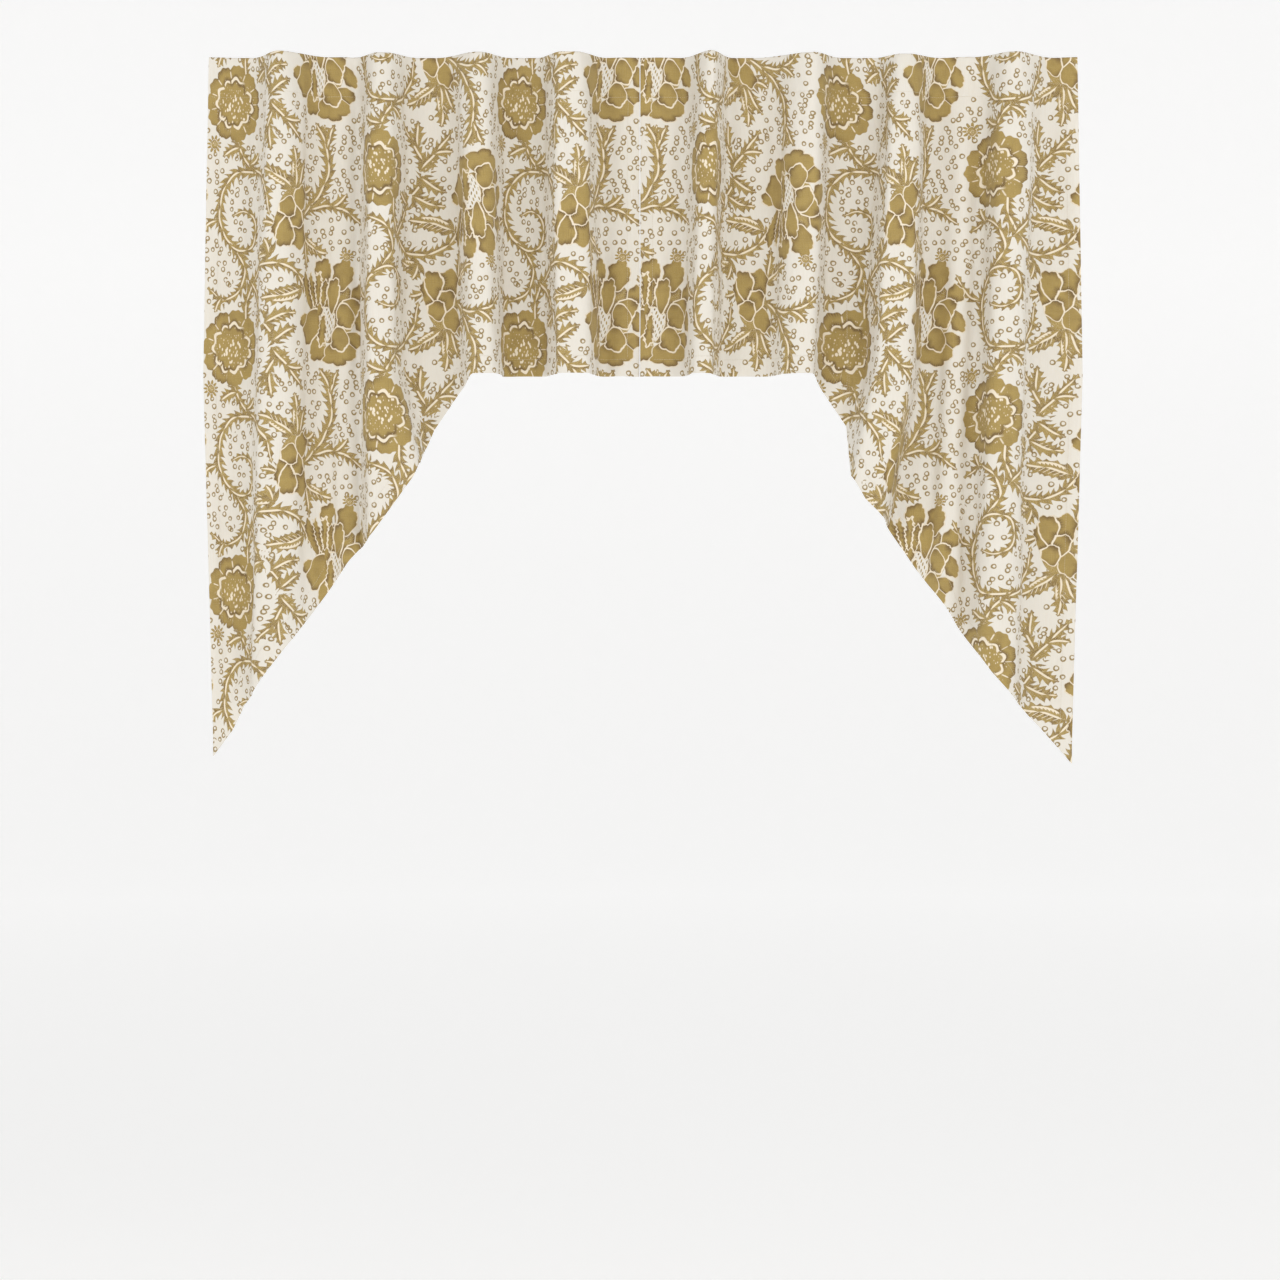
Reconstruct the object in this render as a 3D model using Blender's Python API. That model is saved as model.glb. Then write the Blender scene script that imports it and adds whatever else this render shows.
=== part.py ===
"""Swag and tail drape: a pair of shaped cotton panels, gathered into soft upright folds.

Each panel is one cut cloth. It hangs straight at its inner and outer edges, is short in the
middle of the window and runs down a slanting hem to a pointed tail at its outer corner. Its top is
turned to the back and stitched down as a casing. The origin lies on the top edge where the two
panels meet, +X runs to the right, +Y away from the viewer and +Z up. Lengths are in metres.
"""

from collections import namedtuple

import bpy
import numpy as np

# Driving dimensions
CLOTH = 0.0015             # thickness of a layer
MEETING_GAP = 0.0016       # clear gap between the two inner edges
HALF_BREADTH = 0.572       # from the meeting of the panels to an outer edge, at mid height
MIDDLE_DROP = 0.418        # top edge down to the level hem
LEFT_DROP = 0.916          # top edge down to the tip of the left tail
RIGHT_DROP = 0.926         # the right tail hangs a little lower
FOLD_DEPTH = 0.058         # how far a full fold stands forward of the valleys
STEEPEST = 1.31            # radians from the window's plane, the steepest that a fold's wall stands
EVEN_DROP = 0.20           # above this drop the steep walls of the folds turn into even waves
EVEN_SPREAD = 0.15         # how much broader a wall becomes on its way up to the top edge
CASING_DEPTH = 0.052       # top edge down to the stitching of the turned-back cloth
CASING_BULGE = 0.0036      # layer to layer, at the rounded top of the casing
CASING_PINCH = 0.0021      # layer to layer, where the stitching holds them together

# How finely the cloth is faceted
COLUMNS = 64               # across a panel, evenly along its cloth
ROWS = 9                   # down a panel, from the top edge to the hem
TURN_STEPS = 3             # round the turned top edge
CASING_ROWS = 2            # down the turned-back layer
ARC_SAMPLES = 1200         # used to measure the length of the cloth along its folds
HALVINGS = 24              # used to find where a column of the cloth meets the hem

# Drops below the top edge at which the folds and the outer edges are given
LEVELS = (0.0, MIDDLE_DROP, 0.90)

# A fold stands forward between a left and a right wall. The places of the walls are given at
# the three levels, and so are the depths, as shares of FOLD_DEPTH. A run is a wall's own breadth,
# and the top is the share of its depth that the fold keeps at the top edge itself.
Fold = namedtuple("Fold", "left right depths left_run right_run top")

LEFT_FOLDS = (
    Fold((-0.580, -0.586, -0.576), (-0.548, -0.554, -0.546), (0.10, 0.14, 0.10), 0.030, 0.034, 1.00),
    Fold((-0.488, -0.501, -0.508), (-0.437, -0.438, -0.444), (0.90, 0.77, 0.58), 0.036, 0.064, 1.00),
    Fold((-0.409, -0.401, -0.395), (-0.379, -0.371, -0.365), (0.10, 0.18, 0.30), 0.032, 0.028, 1.00),
    Fold((-0.358, -0.361, -0.355), (-0.312, -0.314, -0.170), (1.00, 0.96, 0.90), 0.032, 0.036, 0.70),
    Fold((-0.238, -0.230, -0.100), (-0.189, -0.182, -0.060), (0.98, 0.96, 0.90), 0.050, 0.034, 0.78),
    Fold((-0.119, -0.115, -0.050), (-0.063, -0.058, -0.030), (1.04, 1.00, 1.00), 0.030, 0.034, 0.76),
    Fold((-0.033, -0.035, -0.035), (-0.007, -0.009, -0.009), (0.06, 0.08, 0.08), 0.030, 0.030, 1.00),
)
RIGHT_FOLDS = (
    Fold((0.011, 0.007, 0.007), (0.037, 0.033, 0.033), (0.06, 0.06, 0.06), 0.030, 0.030, 1.00),
    Fold((0.074, 0.062, 0.030), (0.107, 0.099, 0.050), (0.96, 0.94, 0.92), 0.036, 0.026, 1.00),
    Fold((0.190, 0.178, 0.070), (0.245, 0.232, 0.110), (0.94, 0.94, 0.92), 0.070, 0.036, 0.80),
    Fold((0.324, 0.299, 0.186), (0.371, 0.359, 0.268), (1.00, 0.96, 0.96), 0.028, 0.040, 0.55),
    Fold((0.413, 0.398, 0.372), (0.447, 0.428, 0.410), (0.14, 0.30, 0.45), 0.034, 0.032, 1.00),
    Fold((0.461, 0.449, 0.434), (0.515, 0.501, 0.492), (0.96, 0.88, 0.70), 0.044, 0.052, 0.85),
    Fold((0.556, 0.562, 0.552), (0.588, 0.594, 0.584), (0.12, 0.10, 0.08), 0.036, 0.030, 1.00),
)

# Places of the outer edges at the three levels
LEFT_EDGE = (-0.565, -HALF_BREADTH, -0.559)
RIGHT_EDGE = (0.573, 0.580, 0.566)

# The slanting hems, from the corner with the level hem out to the tip of the tail
HemPoint = namedtuple("HemPoint", "place drop")

LEFT_HEM = (
    HemPoint(-0.219, MIDDLE_DROP),
    HemPoint(-0.237, 0.440),
    HemPoint(-0.270, 0.488),
    HemPoint(-0.281, 0.515),
    HemPoint(-0.290, 0.547),
    HemPoint(-0.312, 0.577),
    HemPoint(-0.344, 0.621),
    HemPoint(-0.382, 0.661),
    HemPoint(-0.419, 0.714),
    HemPoint(-0.451, 0.760),
    HemPoint(-0.475, 0.790),
    HemPoint(-0.519, 0.849),
    HemPoint(-0.535, 0.882),
    HemPoint(-0.559, LEFT_DROP),
)
RIGHT_HEM = (
    HemPoint(0.228, MIDDLE_DROP),
    HemPoint(0.240, 0.438),
    HemPoint(0.271, 0.484),
    HemPoint(0.274, 0.550),
    HemPoint(0.292, 0.581),
    HemPoint(0.318, 0.606),
    HemPoint(0.358, 0.665),
    HemPoint(0.396, 0.716),
    HemPoint(0.456, 0.804),
    HemPoint(0.479, 0.829),
    HemPoint(0.502, 0.854),
    HemPoint(0.528, 0.882),
    HemPoint(0.566, RIGHT_DROP),
)

Panel = namedtuple("Panel", "name side folds edge hem colour")

PANELS = (
    Panel("panel_left", -1, LEFT_FOLDS, LEFT_EDGE, LEFT_HEM, (0.62, 0.53, 0.35)),
    Panel("panel_right", 1, RIGHT_FOLDS, RIGHT_EDGE, RIGHT_HEM, (0.60, 0.52, 0.34)),
)


def clear_scene():
    """Remove the objects that a new scene starts with."""
    for thing in list(bpy.data.objects):
        bpy.data.objects.remove(thing, do_unlink=True)


def wall_rise(across, run, depth, even):
    """Height gained across a wall: a round foot, a straight slope and a round shoulder.

    An even wall is half a wave instead, and the share of it tells how much of that is mixed in.
    """
    angle = np.minimum(2 * np.arctan2(depth, run), STEEPEST)
    radius = (run * np.tan(angle) - depth) * np.cos(angle) / (2 * (1 - np.cos(angle)))
    foot = radius * np.sin(angle)
    along = np.clip(across + run / 2, 0, run)
    from_end = np.minimum(along, run - along)
    rounded = radius - np.sqrt(radius ** 2 - np.minimum(from_end, foot) ** 2)
    straight = np.maximum(from_end - foot, 0) * np.tan(angle)
    steep = np.where(along < run / 2, rounded + straight, depth - rounded - straight)
    wave = depth * (1 - np.cos(np.pi * along / run)) / 2
    return steep + (wave - steep) * even


def forward_of(place, drop, folds):
    """How far the cloth stands forward of the valleys."""
    total = np.zeros(np.shape(place))
    even = np.clip(1 - drop / EVEN_DROP, 0, 1) ** 2
    for fold in folds:
        left = np.interp(drop, LEVELS, fold.left)
        right = np.interp(drop, LEVELS, fold.right)
        depth = FOLD_DEPTH * np.interp(drop, LEVELS, fold.depths)
        depth = depth * (1 - (1 - fold.top) * even)
        spread = 1 + EVEN_SPREAD * even
        total += wall_rise(place - left, fold.left_run * spread, depth, even)
        total -= wall_rise(place - right, fold.right_run * spread, depth, even)
    return total


def lay(share, drop, panel):
    """Place, forward distance and backward direction of the cloth.

    The share is measured along the cloth from the inner edge, 0, to the outer edge, 1, so each
    upright thread keeps its own share while the folds drift sideways on their way down.
    """
    inner = panel.side * MEETING_GAP / 2
    results = []
    for one_share, one_drop in zip(share, drop):
        outer = np.interp(one_drop, LEVELS, panel.edge)
        places = np.linspace(inner, outer, ARC_SAMPLES)
        forwards = forward_of(places, one_drop, panel.folds)
        steps = np.hypot(np.diff(places), np.diff(forwards))
        lengths = np.concatenate(([0.0], np.cumsum(steps)))
        wanted = one_share * lengths[-1]
        slope = np.gradient(forwards, places)
        place = np.interp(wanted, lengths, places)
        forward = np.interp(wanted, lengths, forwards)
        lean = np.interp(wanted, lengths, slope)
        steep = np.hypot(1.0, lean)
        results.append((place, forward, lean / steep, 1.0 / steep))
    return np.array(results).T


def hem_drop(place, panel):
    """Drop of the hem below the top edge: level in the middle, then slanting to the tip."""
    out = [abs(point.place) for point in panel.hem]
    return np.interp(np.abs(place), out, [point.drop for point in panel.hem])


def hem_of_columns(share, panel):
    """Drop at which each column of the cloth meets the hem, found by halving."""
    above = np.zeros(len(share))
    below = np.full(len(share), panel.hem[-1].drop)
    for _ in range(HALVINGS):
        middle = (above + below) / 2
        inside = middle < hem_drop(lay(share, middle, panel)[0], panel)
        above = np.where(inside, middle, above)
        below = np.where(inside, below, middle)
    return (above + below) / 2


def down_the_cloth(hem):
    """Drop, height above that drop, and backward offset of each row, from casing to hem."""
    turn_radius = CASING_BULGE / 2
    top = CLOTH / 2 + turn_radius
    rows = []
    for step in range(CASING_ROWS, 0, -1):
        part_way = step / CASING_ROWS
        drop = top + part_way * (CASING_DEPTH - top)
        offset = CASING_BULGE + part_way * (CASING_PINCH - CASING_BULGE)
        rows.append((np.full(len(hem), drop), offset))
    for step in range(TURN_STEPS + 1):
        turn = np.pi * step / TURN_STEPS
        drop = top - turn_radius * np.sin(turn)
        rows.append((np.full(len(hem), drop), turn_radius * (1 + np.cos(turn))))
    for step in range(1, ROWS + 1):
        rows.append((top + (hem - top) * step / ROWS, 0.0))
    return rows


def cloth_sheet(panel):
    """The middle surface of a panel as one grid of quads, from the casing over the top."""
    share = np.linspace(0, 1, COLUMNS + 1)
    hem = hem_of_columns(share, panel)
    points = []
    for drop, offset in down_the_cloth(hem):
        place, forward, back_x, back_y = lay(share, drop, panel)
        points.append(np.stack((place + offset * back_x, offset * back_y - forward, -drop), axis=1))
    wide = COLUMNS + 1
    faces = []
    for row in range(len(points) - 1):
        for column in range(COLUMNS):
            a = row * wide + column
            quad = (a, a + 1, a + 1 + wide, a + wide)
            faces.append(quad)
    mesh = bpy.data.meshes.new(panel.name)
    mesh.from_pydata(np.concatenate(points).tolist(), [], faces)
    return mesh


def cotton(panel):
    """Matt printed cotton."""
    material = bpy.data.materials.new(panel.name + "_cotton")
    material.use_nodes = True
    shader = material.node_tree.nodes["Principled BSDF"]
    shader.inputs["Base Color"].default_value = (*panel.colour, 1.0)
    shader.inputs["Roughness"].default_value = 0.88
    shader.inputs["Metallic"].default_value = 0.0
    return material


def make_panel(panel):
    """One hanging panel: its folded sheet given the thickness of the cloth."""
    mesh = cloth_sheet(panel)
    mesh.materials.append(cotton(panel))
    cloth = bpy.data.objects.new(panel.name, mesh)
    bpy.context.scene.collection.objects.link(cloth)
    thicken = cloth.modifiers.new("thickness", "SOLIDIFY")
    thicken.thickness = CLOTH
    thicken.offset = 0.0
    thicken.use_even_offset = True
    mesh.shade_smooth()
    return cloth


def main():
    clear_scene()
    for panel in PANELS:
        make_panel(panel)


main()
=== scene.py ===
"""Swag and tail drape: the look of its two printed cotton panels, their hems and their stitching.

Each panel is one cut cloth that hangs in soft upright folds. Its four sides are turned to the back
and stitched. The print is worked out in two steps: the motifs are laid out on the flat cloth in
numpy, and the material then draws each motif from the place that every face holds beside it.
Lengths are in metres, and in millimetres wherever a name or a comment says print.
"""

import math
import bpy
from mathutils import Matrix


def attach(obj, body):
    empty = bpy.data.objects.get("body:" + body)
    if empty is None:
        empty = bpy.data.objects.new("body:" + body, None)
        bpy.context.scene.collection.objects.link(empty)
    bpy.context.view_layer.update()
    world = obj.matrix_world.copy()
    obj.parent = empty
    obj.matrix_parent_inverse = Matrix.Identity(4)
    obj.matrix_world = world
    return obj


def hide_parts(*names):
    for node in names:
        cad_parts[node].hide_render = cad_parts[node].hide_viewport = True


bl_info = {
    "name": "Swag and Tail Drape",
    "version": (1, 0, 0),
    "blender": (4, 5, 0),
    "location": "3D Viewport > Sidebar > Drape",
    "description": "Makes a pair of shaped, printed cotton drape panels with turned hems",
    "category": "Add Mesh",
}

from collections import namedtuple
from functools import reduce

import bpy
import numpy as np
from bpy.props import FloatProperty, FloatVectorProperty, PointerProperty
from mathutils import Vector

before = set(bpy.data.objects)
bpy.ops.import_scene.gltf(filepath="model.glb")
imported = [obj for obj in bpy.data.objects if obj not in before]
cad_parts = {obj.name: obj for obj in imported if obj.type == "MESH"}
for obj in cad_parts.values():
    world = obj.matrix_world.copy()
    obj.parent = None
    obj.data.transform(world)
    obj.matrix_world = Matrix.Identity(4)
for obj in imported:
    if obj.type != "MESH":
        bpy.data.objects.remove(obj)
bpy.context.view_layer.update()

# --------------------------------------------------------------- the folds, as the solids have them

MEETING_GAP = 0.0016       # clear gap between the two inner edges
HALF_BREADTH = 0.572       # from the meeting of the panels to the left edge, at mid height
MIDDLE_DROP = 0.418        # top edge down to the level hem
LEFT_DROP = 0.916          # top edge down to the tip of the left tail
RIGHT_DROP = 0.926         # the right tail hangs a little lower
FOLD_DEPTH = 0.058         # how far a full fold stands forward of the valleys
STEEPEST = 1.31            # radians from the window's plane, the steepest that a wall stands
EVEN_DROP = 0.20           # above this drop the steep walls of the folds turn into even waves
EVEN_SPREAD = 0.15         # how much broader a wall becomes on its way up to the top edge

# Drops below the top edge at which the folds and the outer edges are given
LEVELS = (0.0, MIDDLE_DROP, 0.90)

# A fold stands forward between a left and a right wall. The places of the walls are given at
# the three levels, and so are the depths, as shares of FOLD_DEPTH. A run is a wall's own breadth,
# and the top is the share of its depth that the fold keeps at the top edge itself.
Fold = namedtuple("Fold", "left right depths left_run right_run top")

LEFT_FOLDS = (
    Fold((-0.580, -0.586, -0.576), (-0.548, -0.554, -0.546), (0.10, 0.14, 0.10), 0.030, 0.034, 1.00),
    Fold((-0.488, -0.501, -0.508), (-0.437, -0.438, -0.444), (0.90, 0.77, 0.58), 0.036, 0.064, 1.00),
    Fold((-0.409, -0.401, -0.395), (-0.379, -0.371, -0.365), (0.10, 0.18, 0.30), 0.032, 0.028, 1.00),
    Fold((-0.358, -0.361, -0.355), (-0.312, -0.314, -0.170), (1.00, 0.96, 0.90), 0.032, 0.036, 0.70),
    Fold((-0.238, -0.230, -0.100), (-0.189, -0.182, -0.060), (0.98, 0.96, 0.90), 0.050, 0.034, 0.78),
    Fold((-0.119, -0.115, -0.050), (-0.063, -0.058, -0.030), (1.04, 1.00, 1.00), 0.030, 0.034, 0.76),
    Fold((-0.033, -0.035, -0.035), (-0.007, -0.009, -0.009), (0.06, 0.08, 0.08), 0.030, 0.030, 1.00),
)
RIGHT_FOLDS = (
    Fold((0.011, 0.007, 0.007), (0.037, 0.033, 0.033), (0.06, 0.06, 0.06), 0.030, 0.030, 1.00),
    Fold((0.074, 0.062, 0.030), (0.107, 0.099, 0.050), (0.96, 0.94, 0.92), 0.036, 0.026, 1.00),
    Fold((0.190, 0.178, 0.070), (0.245, 0.232, 0.110), (0.94, 0.94, 0.92), 0.070, 0.036, 0.80),
    Fold((0.324, 0.299, 0.186), (0.371, 0.359, 0.268), (1.00, 0.96, 0.96), 0.028, 0.040, 0.55),
    Fold((0.413, 0.398, 0.372), (0.447, 0.428, 0.410), (0.14, 0.30, 0.45), 0.034, 0.032, 1.00),
    Fold((0.461, 0.449, 0.434), (0.515, 0.501, 0.492), (0.96, 0.88, 0.70), 0.044, 0.052, 0.85),
    Fold((0.556, 0.562, 0.552), (0.588, 0.594, 0.584), (0.12, 0.10, 0.08), 0.036, 0.030, 1.00),
)

# Places of the outer edges at the three levels
LEFT_EDGE = (-0.565, -HALF_BREADTH, -0.559)
RIGHT_EDGE = (0.573, 0.580, 0.566)

# The slanting hems, from the corner with the level hem out to the tip of the tail
HemPoint = namedtuple("HemPoint", "place drop")

LEFT_HEM = (
    HemPoint(-0.219, MIDDLE_DROP),
    HemPoint(-0.237, 0.440),
    HemPoint(-0.270, 0.488),
    HemPoint(-0.281, 0.515),
    HemPoint(-0.290, 0.547),
    HemPoint(-0.312, 0.577),
    HemPoint(-0.344, 0.621),
    HemPoint(-0.382, 0.661),
    HemPoint(-0.419, 0.714),
    HemPoint(-0.451, 0.760),
    HemPoint(-0.475, 0.790),
    HemPoint(-0.519, 0.849),
    HemPoint(-0.535, 0.882),
    HemPoint(-0.559, LEFT_DROP),
)
RIGHT_HEM = (
    HemPoint(0.228, MIDDLE_DROP),
    HemPoint(0.240, 0.438),
    HemPoint(0.271, 0.484),
    HemPoint(0.274, 0.550),
    HemPoint(0.292, 0.581),
    HemPoint(0.318, 0.606),
    HemPoint(0.358, 0.665),
    HemPoint(0.396, 0.716),
    HemPoint(0.456, 0.804),
    HemPoint(0.479, 0.829),
    HemPoint(0.502, 0.854),
    HemPoint(0.528, 0.882),
    HemPoint(0.566, RIGHT_DROP),
)

# Tight tucks take up some more of the print than the folds do: how far ahead the print is, in
# millimetres, at places along the cloth in metres
Tuck = namedtuple("Tuck", "place ahead")

LEFT_TUCKS = (
    Tuck(0.045, 1.0),
    Tuck(0.118, -6.0),
    Tuck(0.160, -4.0),
    Tuck(0.207, -11.0),
    Tuck(0.233, 0.0),
    Tuck(0.333, 7.0),
    Tuck(0.406, -2.0),
    Tuck(0.600, -2.0),
    Tuck(0.690, 6.0),
    Tuck(0.728, 6.0),
    Tuck(0.765, -4.0),
    Tuck(0.838, 20.0),
)
RIGHT_TUCKS = (
    Tuck(0.140, 3.0),
    Tuck(0.205, 27.0),
    Tuck(0.330, 29.0),
    Tuck(0.400, 15.0),
    Tuck(0.470, 15.0),
    Tuck(0.530, 22.0),
    Tuck(0.640, 22.0),
    Tuck(0.730, 11.0),
    Tuck(0.860, -4.0),
)

# A panel's side is -1 on the left and 1 on the right. Its print starts at the given place of the
# repeat, in millimetres.
Panel = namedtuple("Panel", "name side folds edge hem print_start tucks")

PANELS = (
    Panel("left", -1, LEFT_FOLDS, LEFT_EDGE, LEFT_HEM, 233.0, LEFT_TUCKS),
    Panel("right", 1, RIGHT_FOLDS, RIGHT_EDGE, RIGHT_HEM, -422.0, RIGHT_TUCKS),
)

# How finely the hanging cloth is worked out
TABLE_LEVELS = 160         # levels of the tables of where it hangs, from the top edge down
LOWEST_LEVEL = 0.94        # drop of the last of them
TABLE_SHARES = 900         # places along the cloth in each level
ARC_SAMPLES = 1400         # used to measure the length of the cloth along its folds
HALVINGS = 24              # used to find where an upright thread meets the hem

# How finely it is made
COLUMNS = 194              # across a panel, between its side hems
ROWS = 176                 # down a panel, between its casing and its bottom hem
CASING_ROWS = 13           # down the turned-back layer of the casing
HEM_ROWS = 6               # up the turned-back layer of the bottom hem
SIDE_HEM_COLUMNS = 4       # across the turned-back layer of a side hem
TURN_STEPS = 5             # round each turned edge


def wall_rise(across, run, depth, even):
    """Height gained across a wall: a round foot, a straight slope and a round shoulder.

    An even wall is half a wave instead, and the share of it tells how much of that is mixed in.
    """
    angle = np.minimum(2 * np.arctan2(depth, run), STEEPEST)
    radius = (run * np.tan(angle) - depth) * np.cos(angle) / (2 * (1 - np.cos(angle)))
    foot = radius * np.sin(angle)
    along = np.clip(across + run / 2, 0, run)
    from_end = np.minimum(along, run - along)
    rounded = radius - np.sqrt(radius ** 2 - np.minimum(from_end, foot) ** 2)
    straight = np.maximum(from_end - foot, 0) * np.tan(angle)
    steep = np.where(along < run / 2, rounded + straight, depth - rounded - straight)
    wave = depth * (1 - np.cos(np.pi * along / run)) / 2
    return steep + (wave - steep) * even


def forward_of(place, drop, folds):
    """How far the cloth stands forward of the valleys: the walls' rises, added up."""
    total = np.zeros(np.broadcast(place, drop).shape)
    even = np.clip(1 - drop / EVEN_DROP, 0, 1) ** 2
    for fold in folds:
        left = np.interp(drop, LEVELS, fold.left)
        right = np.interp(drop, LEVELS, fold.right)
        depth = FOLD_DEPTH * np.interp(drop, LEVELS, fold.depths)
        depth = depth * (1 - (1 - fold.top) * even)
        spread = 1 + EVEN_SPREAD * even
        total += wall_rise(place - left, fold.left_run * spread, depth, even)
        total -= wall_rise(place - right, fold.right_run * spread, depth, even)
    return total


def unit(vectors):
    """Each vector divided by its own length."""
    return vectors / np.linalg.norm(vectors, axis=-1, keepdims=True)


def hem_drop(place, panel):
    """Drop of the hem below the top edge: level in the middle, then slanting to the tip."""
    out = [abs(point.place) for point in panel.hem]
    return np.interp(np.abs(place), out, [point.drop for point in panel.hem])


# Soft unevenness of the cloth between its folds. A wave is given by how many radians it runs on
# for each metre across and each metre down, and by its share of the height.
Wave = namedtuple("Wave", "across down share")

UPRIGHT_WAVE = Wave(151, 0, 0.5)
SLANTING_WAVE = Wave(263, -11, 0.3)
LEVEL_WAVE = Wave(9, 23, 0.4)
FADING = Wave(19, 13, 0.45)         # where the upright wave is lower and where it is higher
LONG_CURL = Wave(68, 0, 0.6)
SHORT_CURL = Wave(121, 0, 0.36)
CURL_REACH = 0.045                  # from the hem up to where its curl is a third
SETTLING_DROP = 0.09                # drop at which the ripples have their full height
SETTLED_TOP = 0.12                  # share of the ripples that the gathered top keeps


class HangingCloth:
    """Where a panel's cloth hangs, as tables over its share of the width and its drop.

    A share runs along the cloth from the inner edge, 0, to the outer edge, 1, so each upright
    thread keeps its own share while the folds drift sideways on their way down.
    """

    def __init__(self, panel, ripple, flare):
        self.panel = panel
        self.shares = np.linspace(0, 1, TABLE_SHARES)
        self.drops = np.linspace(0, LOWEST_LEVEL, TABLE_LEVELS)
        self.points = self.folded_surface()
        self.width = self.cloth_width()
        self.hems = self.hem_of(self.shares)
        self.measure()
        self.points = self.points + self.backward * self.unevenness(ripple, flare)[..., None]
        self.measure()

    def folded_surface(self):
        """The folded surface at each level, its places evenly spaced along the cloth itself."""
        outer = np.interp(self.drops, LEVELS, self.panel.edge)[:, None]
        inner = self.panel.side * MEETING_GAP / 2
        places = inner + (outer - inner) * np.linspace(0, 1, ARC_SAMPLES)
        forwards = forward_of(places, self.drops[:, None], self.panel.folds)
        steps = np.hypot(np.diff(places, axis=1), np.diff(forwards, axis=1))
        lengths = np.concatenate((np.zeros((TABLE_LEVELS, 1)), np.cumsum(steps, axis=1)), axis=1)
        table = np.empty((TABLE_LEVELS, TABLE_SHARES, 3))
        for level in range(TABLE_LEVELS):
            wanted = self.shares * lengths[level, -1]
            table[level, :, 0] = np.interp(wanted, lengths[level], places[level])
            table[level, :, 1] = -np.interp(wanted, lengths[level], forwards[level])
        table[..., 2] = -self.drops[:, None]
        return table

    def cloth_width(self):
        """Flat width of the cloth, at the level of the short hem."""
        level = np.searchsorted(self.drops, MIDDLE_DROP)
        return np.linalg.norm(np.diff(self.points[level], axis=0), axis=1).sum()

    def measure(self):
        """The directions along, down and behind the cloth, from its slopes."""
        self.along = unit(np.gradient(self.points, axis=1))
        self.downward = unit(np.gradient(self.points, axis=0))
        behind = unit(np.cross(self.along, self.downward))
        self.backward = behind * np.sign(behind[..., 1:2])

    def unevenness(self, ripple, flare):
        """Low soft ripples, upright and slightly slanting, and hems that curl to and fro."""
        across = self.shares[None, :] * self.width
        down = self.drops[:, None]
        seed = 1.7 * self.panel.side

        def wave(kind, start):
            return kind.share * np.sin(across * kind.across + down * kind.down + start)

        waves = wave(UPRIGHT_WAVE, 3.1 * np.sin(down * 7 + seed) + seed)
        waves = waves * (1 - FADING.share + wave(FADING, seed))
        waves = waves + wave(SLANTING_WAVE, 2.0 * np.sin(down * 17 - seed))
        waves = waves + wave(LEVEL_WAVE, seed)
        from_hem = np.clip(self.hems[None, :] - down, 0, 1)
        curl = wave(LONG_CURL, 2 * seed) + wave(SHORT_CURL, -seed)
        settled = np.clip(down / SETTLING_DROP, SETTLED_TOP, 1)
        near_hem = np.exp(-from_hem / CURL_REACH)
        return ripple * waves * settled + flare * curl * near_hem

    def read(self, table, share, drop):
        """A table read at any shares and drops, in straight lines between its entries."""
        column = np.clip(share, 0, 1) * (TABLE_SHARES - 1)
        row = np.clip(drop / LOWEST_LEVEL, 0, 1) * (TABLE_LEVELS - 1)
        j = np.minimum(column.astype(int), TABLE_SHARES - 2)
        i = np.minimum(row.astype(int), TABLE_LEVELS - 2)
        x = (column - j)[..., None]
        y = (row - i)[..., None]
        upper = table[i, j] * (1 - x) + table[i, j + 1] * x
        lower = table[i + 1, j] * (1 - x) + table[i + 1, j + 1] * x
        return upper * (1 - y) + lower * y

    def hem_of(self, share):
        """Drop at which each share of the cloth meets the hem, found by halving."""
        above = np.zeros(len(share))
        below = np.full(len(share), self.panel.hem[-1].drop)
        for _ in range(HALVINGS):
            middle = (above + below) / 2
            place = self.read(self.points, share, middle)[..., 0]
            inside = middle < hem_drop(place, self.panel)
            above = np.where(inside, middle, above)
            below = np.where(inside, below, middle)
        return (above + below) / 2


# ------------------------------------------------------------------------------ meshes from arrays


def grid_faces(rows, columns, start=0):
    """Quads of a grid of points, each turned so that rows run first and columns second."""
    corner = start + np.arange((rows - 1) * columns).reshape(rows - 1, columns)[:, :-1].ravel()
    return np.stack((corner, corner + columns, corner + columns + 1, corner + 1), axis=1)


def mesh_from_arrays(name, points, faces):
    """A mesh of four-sided faces, filled from whole arrays."""
    mesh = bpy.data.meshes.new(name)
    mesh.vertices.add(len(points))
    mesh.vertices.foreach_set("co", np.ascontiguousarray(points, np.float32).ravel())
    mesh.loops.add(faces.size)
    mesh.loops.foreach_set("vertex_index", faces.astype(np.int32).ravel())
    mesh.polygons.add(len(faces))
    mesh.polygons.foreach_set("loop_start", np.arange(0, faces.size, 4, dtype=np.int32))
    mesh.update(calc_edges=True)
    mesh.shade_smooth()
    return mesh


def piece_from_mesh(mesh, material):
    """A piece at the origin that holds this mesh and wears this material."""
    mesh.materials.append(material)
    piece = bpy.data.objects.new(mesh.name, mesh)
    bpy.context.scene.collection.objects.link(piece)
    return piece


def keep_on_corners(mesh, name, values):
    """Keeps three numbers for each corner of each face, for the material to read."""
    layer = mesh.attributes.new(name, "FLOAT_VECTOR", "CORNER")
    layer.data.foreach_set("vector", np.ascontiguousarray(values, np.float32).ravel())


# ------------------------------------------------------------------------ the cloth with its hems

# One side of a cloth turned to the back: how far each line of points lies from the edge, how far
# behind the front layer, the angle through which the cloth has turned, and its place on the
# flat cloth, which runs on past the edge.
Turned = namedtuple("Turned", "inward behind angle flat")


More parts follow.
